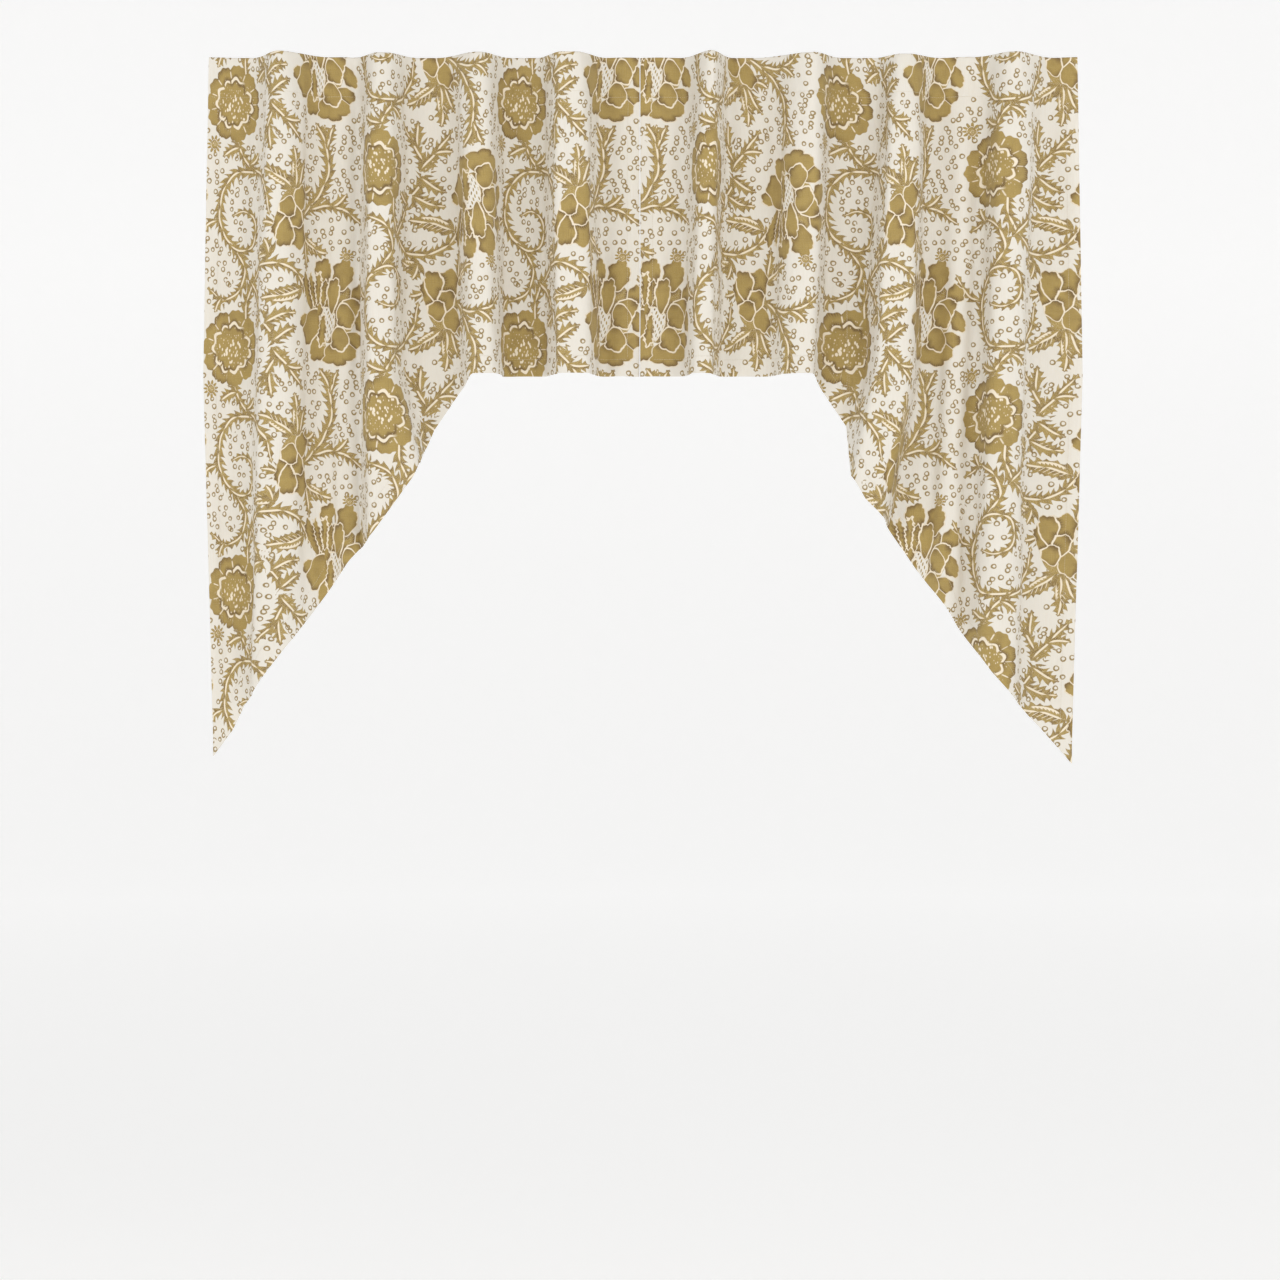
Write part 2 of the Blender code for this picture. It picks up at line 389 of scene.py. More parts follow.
def turned_edge(depth, steps, gap, raw_gap):
    """Lines from the raw edge up to the front layer: a flat strip, then a half turn."""
    radius = gap / 2
    strip = np.linspace(depth, radius, steps + 1)[:-1]
    part = (strip - radius) / (depth - radius)
    turn = np.linspace(math.pi, 0, TURN_STEPS + 1)
    inward = np.concatenate((strip, radius * (1 - np.sin(turn))))
    behind = np.concatenate((gap + (raw_gap - gap) * part, radius * (1 - np.cos(turn))))
    angle = np.concatenate((np.full(steps, math.pi), turn))
    return Turned(inward, behind, angle, inward * np.sign(np.cos(angle)))


def lay_out_cloth(cloth, settings):
    """Share, drop and layers of every point of a panel, hems and casing included.

    Columns run from the raw edge of the inner hem, round the inner edge, across the front and
    round the outer edge. Rows run from the raw edge of the casing, over the top and down the front.
    """
    width = cloth.width
    side = turned_edge(settings.side_hem, SIDE_HEM_COLUMNS, settings.hem_gap, settings.hem_gap)
    front = np.linspace(side.inward[-1], width - side.inward[-1], COLUMNS + 1)[1:-1]
    flat_along = np.concatenate((side.flat, front, (width - side.flat)[::-1]))
    along = np.concatenate((side.inward, front, (width - side.inward)[::-1]))
    flat_front = np.zeros(len(front))
    behind_across = np.concatenate((side.behind, flat_front, side.behind[::-1]))
    angle_across = np.concatenate((-side.angle, flat_front, side.angle[::-1]))

    share = along / width
    hem = cloth.hem_of(share)
    apart = np.arange(len(along)) * 1e-9       # no two columns at quite the same place
    slope = np.gradient(hem, along + apart)
    slope = np.where(np.abs(behind_across) > 0, 0.0, slope)
    slant = np.hypot(1, slope)

    casing = turned_edge(settings.casing + settings.casing_lip, CASING_ROWS, settings.casing_gap,
                         settings.hem_gap)
    bottom = turned_edge(settings.bottom_hem, HEM_ROWS, settings.hem_gap, settings.hem_gap)
    part = np.linspace(0, 1, ROWS + 1)[1:-1, None]
    first = casing.inward[-1]
    last = hem - bottom.inward[-1] * slant
    below_casing = (first + (last - first) * part, hem - bottom.inward[::-1, None] * slant)
    drop = np.concatenate((np.repeat(casing.inward[:, None], len(hem), 1), *below_casing))
    flat_down = np.concatenate((np.repeat(casing.flat[:, None], len(hem), 1), *below_casing))
    flat_front = np.zeros(ROWS - 1)
    behind_down = np.concatenate((casing.behind, flat_front, bottom.behind[::-1]))[:, None]
    angle_down = np.concatenate((-casing.angle, flat_front, bottom.angle[::-1]))[:, None]

    # On the turned hem the flat place is mirrored across the slanting edge
    folded_back = angle_down > math.pi / 2
    past_edge = 2 * folded_back * (hem - drop) / slant ** 2
    flat_across = flat_along[None, :] - slope * past_edge
    flat_down = flat_down + past_edge
    shape = drop.shape
    return {
        "share": np.broadcast_to(share, shape),
        "drop": drop,
        "behind": behind_down + behind_across[None, :],
        "angle_down": np.broadcast_to(angle_down, shape),
        "angle_across": np.broadcast_to(angle_across[None, :], shape),
        "flat": np.stack(np.broadcast_arrays(flat_across, flat_down), axis=-1),
        "hem": np.broadcast_to(hem, shape),
        "slant": np.broadcast_to(slant, shape),
    }


def panel_surfaces(cloth, layout, thickness):
    """The printed and the plain side of the cloth, half a thickness to either side of its middle.

    The outward direction turns with the cloth round each edge, from in front to behind.
    """
    share = layout["share"]
    drop = layout["drop"]
    middle = cloth.read(cloth.points, share, drop)
    backward = unit(cloth.read(cloth.backward, share, drop))
    along = unit(cloth.read(cloth.along, share, drop))
    downward = unit(cloth.read(cloth.downward, share, drop))
    down = layout["angle_down"][..., None]
    across = layout["angle_across"][..., None]
    middle = middle + layout["behind"][..., None] * backward
    outward = -np.cos(down) * np.cos(across) * backward
    outward = outward + np.sin(down) * downward + np.sin(across) * along
    outward = unit(outward)
    return middle + outward * thickness / 2, middle - outward * thickness / 2


def seam_distance(layout, cloth, settings):
    """Distance of each point from the nearest line of stitching."""
    from_inner = layout["share"] * cloth.width
    from_side = np.minimum(from_inner, cloth.width - from_inner)
    from_hem = (layout["hem"] - layout["drop"]) / layout["slant"]
    return np.minimum.reduce((
        np.abs(layout["drop"] - settings.casing),
        np.abs(from_side - settings.side_hem + settings.stitch_inset),
        np.abs(from_hem - settings.bottom_hem + settings.stitch_inset),
    ))


def shell_faces(rows, columns):
    """Faces of a closed shell whose two grids of points follow each other, and its four rims."""
    count = rows * columns
    printed = grid_faces(rows, columns)
    plain = grid_faces(rows, columns, count)[:, ::-1]
    index = np.arange(count).reshape(rows, columns)
    outline = np.concatenate((index[0, :], index[1:, -1], index[-1, -2::-1], index[-2:0:-1, 0]))
    following = np.roll(outline, -1)
    rim = np.stack((outline, following, following + count, outline + count), axis=1)
    return np.concatenate((printed, plain, rim))


# Bands of the flat map that the bake reads, from bottom to top, and the margin at its sides
MAP_MARGIN = 0.004
PRINTED_BAND = (0.004, 0.804)
PLAIN_BAND = (0.820, 0.970)
RIM_BAND = (0.980, 0.994)


def bake_map(faces, layout):
    """Flat map of the shell: the printed side large, the plain side small, the rim a thin band."""
    rows, columns = layout["drop"].shape
    across = layout["flat"][..., 0]
    part = (across[rows // 2] - across.min()) / (across.max() - across.min())
    x = np.broadcast_to(MAP_MARGIN + (1 - 2 * MAP_MARGIN) * part, (rows, columns))

    def side(band):
        y = np.linspace(*band, rows)
        return np.stack((x, np.broadcast_to(y[:, None], x.shape)), axis=-1).reshape(-1, 2)

    corners = np.concatenate((side(PRINTED_BAND), side(PLAIN_BAND)))[faces]
    rims = len(faces) - 2 * (rows - 1) * (columns - 1)
    around = np.linspace(MAP_MARGIN, 1 - MAP_MARGIN, rims + 1)
    low, high = RIM_BAND
    rim_corners = ((around[:-1], low), (around[1:], low), (around[1:], high), (around[:-1], high))
    for number, (place, height) in enumerate(rim_corners):
        corners[-rims:, number] = np.stack((place, np.full(rims, height)), axis=1)
    return corners


# ------------------------------------------------------------------------------ the flower print

# The repeat of the print, in millimetres. Places in it run to the right and down. It holds one
# group of motifs, and the same group again, mirrored top to bottom and moved to the right. A place
# of the first group stands again this far to the right, and as far up from this line as it is down.
REPEAT = np.array((580.0, 321.0))
MIRRORED_GROUP = np.array((292.0, 212.0))

# A stem runs through its points and thins out to its tip. Small leaves grow along it.
Stem = namedtuple("Stem", "points half_width tip leaves")
# A leaf grows from its foot in the direction of its turn, in degrees, and bends to one side
Leaf = namedtuple("Leaf", "across down turn length half_width bend")
# A petal is an oval, turned by some degrees. A negative fill leaves the ground showing.
Petal = namedtuple("Petal", "across down wide tall turn fill")
# A bloom has a body that fills the ground under its petals, an oval given by its half breadths
Bloom = namedtuple("Bloom", "petals body across down turn size")
Rosette = namedtuple("Rosette", "across down turn size")


STEMS = (
    Stem(((2, 100), (12, 126), (34, 150)), 4.6, 0.9, 0),
    Stem(((40, 152), (8, 150), (-16, 168), (-26, 202), (-18, 231), (6, 254), (20, 280), (10, 306),
          (-16, 318), (-42, 304)), 4.9, 0.45, 0),
    Stem(((-6, 246), (14, 254), (33, 247), (40, 228), (33, 209), (17, 202), (-3, 207)),
         3.9, 0.4, 0),
    Stem(((34, 146), (60, 158), (78, 182), (84, 212)), 4.2, 0.35, 0),
    Stem(((22, 30), (26, -6), (44, -32), (76, -46), (110, -42), (134, -22), (150, -2)),
         4.9, 0.7, 0),
    Stem(((32, -26), (54, -4), (76, 28), (94, 60), (84, 92), (60, 124)), 5.0, 0.45, 2),
    Stem(((90, 66), (108, 86), (134, 116)), 4.2, 0.4, 1),
    Stem(((136, 210), (155, 196), (172, 176), (185, 146), (182, 114), (183, 92)), 6.2, 0.45, 0),
    Stem(((156, 200), (178, 195), (204, 200), (233, 220)), 4.6, 0.4, 1),
    Stem(((-30, 214), (-48, 222), (-62, 246)), 3.6, 0.4, 0),
)
LEAVES = (
    Leaf(113, 175, -150, 52, 12.5, 0.25),
    Leaf(120, 174, -92, 54, 11.0, 0.20),
    Leaf(126, 172, -64, 40, 7.5, -0.25),
    Leaf(136, 180, -24, 24, 8.0, 0.45),
    Leaf(136, 238, 22, 50, 11.0, 0.30),
    Leaf(138, 244, 84, 40, 6.5, -0.10),
    Leaf(128, -14, 168, 58, 13.5, -0.22),
    Leaf(86, 260, 172, 36, 11.5, 0.30),
    Leaf(84, 262, -110, 22, 8.5, 0.20),
    Leaf(80, 30, -18, 44, 9.0, -0.25),
    Leaf(90, 54, -30, 38, 8.0, -0.20),
    Leaf(70, 20, 150, 28, 7.0, 0.30),
    Leaf(86, 96, 88, 34, 7.5, 0.10),
    Leaf(184, 118, -62, 34, 6.5, -0.20),
    Leaf(182, 112, -118, 30, 6.0, 0.20),
    Leaf(8, 118, 158, 32, 7.5, 0.25),
    Leaf(26, 140, -34, 26, 7.0, 0.25),
    Leaf(92, 226, 196, 22, 6.0, 0.25),
    Leaf(-20, 316, 120, 22, 6.5, 0.20),
)
PEONY = (
    Petal(-13, -50, 13, 19, -10, 1),
    Petal(16, -45, 15, 20, 16, 1),
    Petal(-41, -24, 8, 25, -24, 1),
    Petal(-46, 13, 9, 14, 250, 1),
    Petal(39, -20, 12, 14, 46, 1),
    Petal(41, 12, 10, 18, 150, 1),
    Petal(33, 38, 11, 13, 134, 1),
    Petal(-33, 20, 15, 25, 198, 1),
    Petal(-21, 47, 13, 19, 186, 1),
    Petal(11, 54, 24, 17, 176, 1),
    Petal(-31, -27, 4.5, 22, -12, 1),
    Petal(-21, -29, 5.0, 21, 2, 1),
    Petal(-12, -23, 5.0, 18, 10, 1),
    Petal(-6, 16, 10, 22, 4, -1),
    Petal(28, -5, 12, 13, 118, 1),
    Petal(2, -20, 9, 23, 4, 1),
    Petal(20, 6, 12, 17, 168, 1),
    Petal(-15, 24, 5.5, 21, 186, 1),
    Petal(12, 36, 13, 16, 178, 1),
)
BUD = (
    Petal(-17, 10, 7, 22, 190, 1),
    Petal(9, 20, 14, 22, 174, 1),
    Petal(-8, 22, 11, 21, 184, 1),
    Petal(11, -20, 11, 19, 20, 1),
    Petal(6, 2, 10, 14, 172, 1),
    Petal(-7, -10, 11, 13, 198, 1),
)
BLOOMS = (
    Bloom(PEONY, (36, 42), 188, 12, 0, 1.0),
    Bloom(BUD, (20, 34), 115, 211, 4, 1.02),
)
ROSETTES = (
    Rosette(0, 60, 6, 1.0),
    Rosette(252, 98, 0, 0.20),
    Rosette(210, 262, 20, 0.17),
)

# Sizes of the print, in millimetres
STEP_ALONG = 1.6           # between the points of a stem
LONGEST_BARB = 9.4         # from the side of a stem out to the tip of a barb
END_TAPER = 0.55           # how much narrower a line gets for each millimetre beyond its end
STEM_THINS_FROM = 0.62     # part of a stem's length after which it thins out to its tip
STEM_FOOT = 0.12           # part of a stem's length over which it widens from its foot
LEAF_POINTS = 24
SIDE_LEAF_TURN = 46        # degrees between a stem and a small leaf that grows from it
PETAL_FAN = 0.26           # how much wider than its middle a petal is at its tip
PETAL_MARGIN = 4.0         # drawn round a petal's outline
ROSETTE_REACH = 56.0       # from the middle of a full rosette, how far its drawing may reach
ROSETTE_ROOM = 0.9         # share of that reach which is kept clear of rings
RING_SPACING = (14.0, 13.0)
RING_SHAKE = 3.3           # how far a ring may stray from its place, either way
RING_SIZES = (2.4, 3.0)    # radii of the smallest and the largest ring
RING_CLEARANCE = 3.4       # left free between a ring and the motifs
RING_MARGIN = 1.5          # drawn round a ring
PAIRED_RINGS = 0.28        # share of the rings that have a second one beside them
PAIR_TURNS = (0.9, 2.4)    # radians, the directions in which a second ring may lie
PAIR_GAP = 0.7             # between the middles of the lines of two such rings
RING_SEED = 3

# How many motifs of each kind a face may hold at once, and the place of one that isn't there
STEM_LAYERS = 3
PETAL_LAYERS = 4
RING_LAYERS = 2
FAR_AWAY = 1000.0

# A line of the print: points, arc length, half width and direction at each
Line = namedtuple("Line", "points along half_width heading")


def smooth_line(points):
    """A smooth curve through the points, a Catmull-Rom spline, in short even steps."""
    points = np.asarray(points, float)
    ends = (2 * points[:1] - points[1:2], points, 2 * points[-1:] - points[-2:-1])
    knots = np.concatenate(ends)
    parts = []
    for a, b, c, d in zip(knots, knots[1:], knots[2:], knots[3:]):
        count = max(2, int(math.hypot(*(c - b)) / STEP_ALONG))
        t = np.linspace(0, 1, count, endpoint=False)[:, None]
        bend = (2 * a - 5 * b + 4 * c - d) * t ** 2 + (3 * b - a - 3 * c + d) * t ** 3
        parts.append(0.5 * (2 * b + (c - a) * t + bend))
    parts.append(points[-1:])
    return np.concatenate(parts)


def line_through(points, width_of_part):
    """A line of the print whose half width is a function of the part of its length gone by."""
    steps = np.hypot(*np.diff(points, axis=0).T)
    along = np.concatenate(([0.0], np.cumsum(steps)))
    heading = unit(np.gradient(points, axis=0))
    return Line(points, along, width_of_part(along / along[-1]), heading)


def stem_line(stem):
    """A stem: slender at its foot, then even, and thinning in its last third."""
    def width(part):
        thinned = np.clip((part - STEM_THINS_FROM) / (1 - STEM_THINS_FROM), 0, 1) ** 1.3
        widened = np.clip(part / STEM_FOOT, 0, 1)
        return stem.half_width * 0.9 * (1 - (1 - stem.tip) * thinned) * (0.7 + 0.3 * widened)
    return line_through(smooth_line(stem.points), width)


def leaf_line(leaf):
    """A leaf: a fat short stem, narrow at its foot, widest past the foot and pointed."""
    part = np.linspace(0, 1, LEAF_POINTS)
    forward = leaf.length * part
    sideways = leaf.bend * leaf.length * part * (1 - part)
    turn = math.radians(leaf.turn)
    x = leaf.across + forward * math.cos(turn) - sideways * math.sin(turn)
    y = leaf.down + forward * math.sin(turn) + sideways * math.cos(turn)

    def width(gone):
        return 0.1 + leaf.half_width * 0.72 * np.sin(math.pi * (0.03 + 0.97 * gone) ** 0.75) ** 0.8
    return line_through(smooth_line(np.stack((x, y), axis=1)), width)


def leaves_along(stem, number):
    """Small leaves that grow from a stem, to one side and the other in turn."""
    points = smooth_line(stem.points)
    grown = []
    for count in range(stem.leaves):
        at = (count + 0.8) / (stem.leaves + 0.9)
        foot = int(at * (len(points) - 2))
        heading = points[foot + 1] - points[foot]
        side = 1 if (count + number) % 2 else -1
        turn = math.degrees(math.atan2(heading[1], heading[0])) + side * SIDE_LEAF_TURN
        grown.append(Leaf(*points[foot], turn, 30 - 5 * at, 6.5, -0.3 * side))
    return grown


def print_lines():
    """Every stem and leaf of a group, in the order in which they are drawn."""
    lines = []
    for number, stem in enumerate(STEMS):
        lines.append(stem_line(stem))
        lines.extend(leaf_line(leaf) for leaf in leaves_along(stem, number))
    lines.extend(leaf_line(leaf) for leaf in LEAVES)
    return lines


def wrapped(difference):
    """A difference of places, brought into the nearest repeat."""
    return (difference + REPEAT / 2) % REPEAT - REPEAT / 2


def turned(places, degrees):
    """Places turned about the origin, so that a turned motif lies straight."""
    cos = math.cos(math.radians(degrees))
    sin = math.sin(math.radians(degrees))
    x = places[..., 0] * cos + places[..., 1] * sin
    y = places[..., 1] * cos - places[..., 0] * sin
    return np.stack((x, y), axis=-1)


def fanned(places):
    """Places in a petal, whose width is divided by how much it spreads towards the tip."""
    spread = np.clip(1 - PETAL_FAN * places[..., 1], 0.4, 1.6)
    return np.stack((places[..., 0] / spread, places[..., 1]), axis=-1)


def along_line(line, step, away):
    """Distance to the side of a line, distance along it and half width, beside a point of it."""
    heading = line.heading[step]
    forward = (away * heading).sum(axis=-1)
    sideways = away[..., 1] * heading[..., 0] - away[..., 0] * heading[..., 1]
    last = len(line.points) - 1
    beyond = np.where(step == 0, -forward, np.where(step == last, forward, 0))
    width = line.half_width[step] - END_TAPER * np.maximum(beyond, 0)
    return np.stack((sideways, line.along[step] + forward, width), axis=-1)


class FaceStacks:
    """What each face of the cloth holds of the print.

    Each face keeps the newest few motifs that reach it, oldest first, and for each of them the
    places of its own four corners beside that motif. The material draws them in that order.
    """

    def __init__(self, corners):
        self.corners = corners
        self.middles = corners.mean(axis=1)
        self.radius = np.hypot(*(corners - self.middles[:, None]).transpose(2, 0, 1)).max(axis=1)
        self.covered = np.full(len(corners), FAR_AWAY)

    def mirrored(self):
        """The same faces, from where the mirrored group of motifs sees them."""
        across, down = MIRRORED_GROUP
        other = FaceStacks(self.corners * (1, -1) + (-across, down))
        other.covered = self.covered
        return other

    def empty(self, layers, size=0.0):
        """Stacks that hold nothing: every motif is far away, and of this size."""
        stack = np.full((layers, *self.corners.shape[:2], 3), FAR_AWAY)
        stack[..., 2] = size
        return stack

    @staticmethod
    def push(stack, faces, values):
        """Adds a motif to the stacks of some faces, whose oldest one drops out."""
        stack[:-1, faces] = stack[1:, faces]
        stack[-1, faces] = values

    def push_places(self, stack, faces, places, number):
        """Adds a motif by the places of the corners beside it, and a number that they share."""
        numbers = np.full((*places.shape[:2], 1), number)
        self.push(stack, faces, np.concatenate((places, numbers), axis=-1))

    def cover(self, faces, clear):
        """Notes how far some faces are from a motif, where it is the nearest so far."""
        self.covered[faces] = np.minimum(self.covered[faces], clear)

    def around(self, place, reach):
        """Faces within reach of a place, with their middles and corners measured from it."""
        away = wrapped(self.middles - place)
        faces = np.flatnonzero(np.hypot(*away.T) < reach + self.radius)
        middles = away[faces]
        corners = middles[:, None] + self.corners[faces] - self.middles[faces][:, None]
        return faces, middles, corners

    def press_line(self, stack, line):
        """A stem or leaf: distance to its side, distance along it, and half width.

        Beyond its ends a line goes on straight and narrows to a point.
        """
        centre = (line.points.max(axis=0) + line.points.min(axis=0)) / 2
        local = line.points - centre
        reach = np.hypot(*local.T).max() + line.half_width.max() + LONGEST_BARB
        faces, middles, corners = self.around(centre, reach)
        gap = np.hypot(*(middles[:, None] - local).transpose(2, 0, 1))
        nearest = gap.argmin(axis=1)
        clear = gap[np.arange(len(faces)), nearest] - line.half_width[nearest]
        self.cover(faces, clear)
        radius = self.radius[faces]
        width = along_line(line, nearest, middles - local[nearest])[..., 2]
        touched = (clear < LONGEST_BARB + radius) & (width > -END_TAPER * radius)
        faces, nearest, corners = faces[touched], nearest[touched], corners[touched]
        window = np.clip(nearest[:, None] + np.arange(-5, 6), 0, len(local) - 1)
        to_line = corners[:, :, None] - local[window][:, None]
        pick = np.hypot(to_line[..., 0], to_line[..., 1]).argmin(axis=2)
        step = np.take_along_axis(window, pick, axis=1)
        away = np.take_along_axis(to_line, pick[..., None, None], axis=2)[:, :, 0]
        self.push(stack, faces, along_line(line, step, away))

    def press_petal(self, stack, bloom, petal):
        """A petal: the place in it, where its outline is 1 from the middle, and its breadths.

        Its tip is up, at -1, and the width is spread there and drawn in at the foot. One number
        holds both half breadths: its whole part is their sum, and its fraction is the share of
        the sideways one. It is negative where the petal leaves the ground showing.
        """
        middle = np.array((petal.across, petal.down), float) * bloom.size
        centre = np.array((bloom.across, bloom.down)) + turned(middle, -bloom.turn)
        radii = np.array((petal.wide, petal.tall), float) * bloom.size
        packed = radii.round().sum() + radii[0] / radii.sum()
        reach = radii.max() * (1 + PETAL_FAN) + PETAL_MARGIN
        faces, middles, corners = self.around(centre, reach)
        turn = bloom.turn + petal.turn
        distance = (np.hypot(*fanned(turned(middles, turn) / radii).T) - 1) * radii.min()
        self.cover(faces, distance)
        touched = distance < PETAL_MARGIN + self.radius[faces]
        places = fanned(turned(corners[touched], turn) / radii)
        self.push_places(stack, faces[touched], places, packed * petal.fill)

    def press_body(self, stack, bloom):
        """The oval body of a bloom: the place in it, where its outline is 1 from the middle."""
        radii = np.array(bloom.body, float) * bloom.size
        faces, _, corners = self.around((bloom.across, bloom.down), radii.max())
        self.push_places(stack, faces, turned(corners, bloom.turn) / radii, 0.0)

    def press_rosette(self, stack, rosette):
        """A rosette: the place from its middle, in its own full size, and its scale."""
        centre = np.array((rosette.across, rosette.down), float)
        faces, middles, corners = self.around(centre, ROSETTE_REACH * rosette.size)
        self.cover(faces, np.hypot(*middles.T) - ROSETTE_REACH * ROSETTE_ROOM * rosette.size)
        places = turned(corners, rosette.turn) / rosette.size
        self.push_places(stack, faces, places, rosette.size)

    def press_ring(self, stack, ring):
        """A small ring: the place from its middle, and its radius."""
        faces, _, corners = self.around(ring[:2], ring[2] + RING_MARGIN)
        self.push_places(stack, faces, corners, ring[2])


def press_motifs(faces, stems, bodies, petals, rosettes):
    """Both groups of motifs, pressed onto the stacks of the faces."""
    lines = print_lines()
    for view in (faces, faces.mirrored()):
        for line in lines:
            view.press_line(stems, line)
        for bloom in BLOOMS:
            view.press_body(bodies, bloom)
            for petal in bloom.petals:
                view.press_petal(petals, bloom, petal)
        for rosette in ROSETTES:
            view.press_rosette(rosettes, rosette)


def tile_clearance():
    """How far each place of the repeat is from the motifs, on a grid of one millimetre."""
    across, down = (np.arange(size) + 0.5 for size in REPEAT)
    x, y = np.meshgrid(across, down)
    spots = np.stack((x, y), axis=-1).reshape(-1, 1, 2)
    tile = FaceStacks(np.repeat(spots, 4, axis=1))
    press_motifs(tile, tile.empty(1), tile.empty(1), tile.empty(1), tile.empty(1))
    return tile.covered.reshape(x.shape)


def ring_places(clearance):
    """Rings strewn over the open ground, on a shaken lattice, some of them in pairs."""
    random = np.random.default_rng(RING_SEED)
    wide, high = (int(size / gap) for size, gap in zip(REPEAT, RING_SPACING))
    x, y = np.meshgrid(np.arange(wide), np.arange(high))
    x = (x + 0.5 * (y % 2)) * REPEAT[0] / wide + random.uniform(-RING_SHAKE, RING_SHAKE, x.shape)
    y = y * REPEAT[1] / high + random.uniform(-RING_SHAKE, RING_SHAKE, x.shape)
    sizes = random.uniform(*RING_SIZES, x.shape)
    single = np.stack((x, y, sizes), axis=-1).reshape(-1, 3)
    paired = single[random.random(len(single)) < PAIRED_RINGS]
    angle = random.uniform(*PAIR_TURNS, len(paired))
    step = 2 * paired[:, 2] + PAIR_GAP
    second = paired + np.stack((step * np.cos(angle), step * np.sin(angle), 0 * angle), axis=1)
    rings = np.concatenate((single, second))
    cell = (rings[:, :2] % REPEAT).astype(int)
    room = clearance[cell[:, 1], cell[:, 0]]
    return rings[room > rings[:, 2] + RING_CLEARANCE]


def print_on(mesh, corners):
    """Lays the whole print out on the faces of a cloth, whose corners have these flat places."""
    faces = FaceStacks(corners)
    stems = faces.empty(STEM_LAYERS)
    bodies = faces.empty(1)
    petals = faces.empty(PETAL_LAYERS, size=1.0)
    rosettes = faces.empty(1)
    rings = faces.empty(RING_LAYERS)
    press_motifs(faces, stems, bodies, petals, rosettes)
    for ring in ring_places(tile_clearance()):
        faces.press_ring(rings, ring)
    stacks = {"stem": stems, "body": bodies, "petal": petals, "rosette": rosettes, "ring": rings}
    for name, stack in stacks.items():
        for number, values in enumerate(stack):
            keep_on_corners(mesh, f"{name}_{number + 1}", values)


# ------------------------------------------------------------------------------- shader expressions


def adds(operation):
    """A method of a wire that adds a Math node of this operation."""
    return lambda wire, *others: wire.math(operation, *others)


class Wire:
    """A socket of a material that can be reckoned with: each operation adds a Math node."""

    def __init__(self, tree, socket):
        self.tree = tree
        self.socket = socket

    def math(self, operation, *others, clamp=False):
        """A Math node of this operation on this wire and up to two others."""
        settings = {"operation": operation, "use_clamp": clamp}
        return self.tree.add("ShaderNodeMath", settings, dict(enumerate((self, *others))))

    __add__ = __radd__ = adds("ADD")
    __sub__ = adds("SUBTRACT")
    __mul__ = __rmul__ = adds("MULTIPLY")
    __truediv__ = adds("DIVIDE")
    __pow__ = adds("POWER")
    __abs__ = adds("ABSOLUTE")
    at_least = adds("MAXIMUM")
    at_most = adds("MINIMUM")
    fraction = adds("FRACT")
    root = adds("SQRT")
    sin = adds("SINE")
    angle_from = adds("ARCTAN2")       # of a place this far down, from its distance across

    def __rsub__(self, other):
        return self.times_plus(-1.0, other)

    def __neg__(self):
        return self * -1.0

    def times_plus(self, factor, extra, clamp=False):
        """This wire times a factor, plus something more, in one node."""
        return self.math("MULTIPLY_ADD", factor, extra, clamp=clamp)

    def under(self, edge, softness=0.4):
        """1 where this wire is below an edge and 0 above it, with a soft step between."""
        return self.times_plus(-0.5 / softness, 0.5 + edge * 0.5 / softness, clamp=True)

    def over(self, edge, softness=0.4):
        """1 where this wire is above an edge and 0 below it."""
        return self.times_plus(0.5 / softness, 0.5 - edge * 0.5 / softness, clamp=True)


class NodeBench:
    """The node tree of one material, and the one way in which its nodes are added."""

    def __init__(self, name):
        self.material = bpy.data.materials.new(name)
        self.material.use_nodes = True
        self.nodes = self.material.node_tree.nodes
        self.links = self.material.node_tree.links
        self.shader = self.nodes["Principled BSDF"]

    def put(self, socket, value):
        """Links a wire to a socket, or sets the socket's own value. A colour is three numbers."""
        if isinstance(value, Wire):
            self.links.new(value.socket, socket)
        elif socket.type == "RGBA":
            socket.default_value = (*value, 1)
        else:
            socket.default_value = value

    def add(self, kind, settings=None, inputs=None, output=0):
        """A node of some kind: its settings first, then the values or links of its sockets."""
        node = self.nodes.new(kind)
        for name, value in (settings or {}).items():
            setattr(node, name, value)
        for name, value in (inputs or {}).items():
            self.put(node.inputs[name], value)
        return Wire(self, node.outputs[output])

    def held(self, name):
        """The three numbers that the corners of the cloth hold under a name."""
        vector = self.add("ShaderNodeAttribute", {"attribute_name": name}, output="Vector")
        split = self.nodes.new("ShaderNodeSeparateXYZ")
        self.put(split.inputs[0], vector)
        return tuple(Wire(self, split.outputs[axis]) for axis in "XYZ")

    def layers(self, kind, number):
        """What the corners hold of each layer of one kind of motif, the oldest first."""
        return [self.held(f"{kind}_{layer + 1}") for layer in range(number)]

    def vector(self, x, y, z=0.0):
        return self.add("ShaderNodeCombineXYZ", None, {"X": x, "Y": y, "Z": z})

    def noise(self, vector, scale, detail=2.0, roughness=0.5):
        """Soft noise between 0 and 1."""
        inputs = {"Vector": vector, "Scale": scale, "Detail": detail, "Roughness": roughness}
        return self.add("ShaderNodeTexNoise", None, inputs)

    def blend(self, base, top, share):
        """One colour laid over another by a share from 0 to 1."""
        settings = {"data_type": "RGBA", "clamp_factor": True}
        inputs = {0: share, 6: base, 7: top}
        return self.add("ShaderNodeMix", settings, inputs, output=2)

    def finish(self, inputs):
        """Sets or links the sockets of the Principled BSDF and gives back the material."""
        for name, value in inputs.items():
            self.put(self.shader.inputs[name], value)
        return self.material


# Masks of the print: where ink lies, where cream is left in it, and where it is dark
Masks = namedtuple("Masks", "ink cream dark")

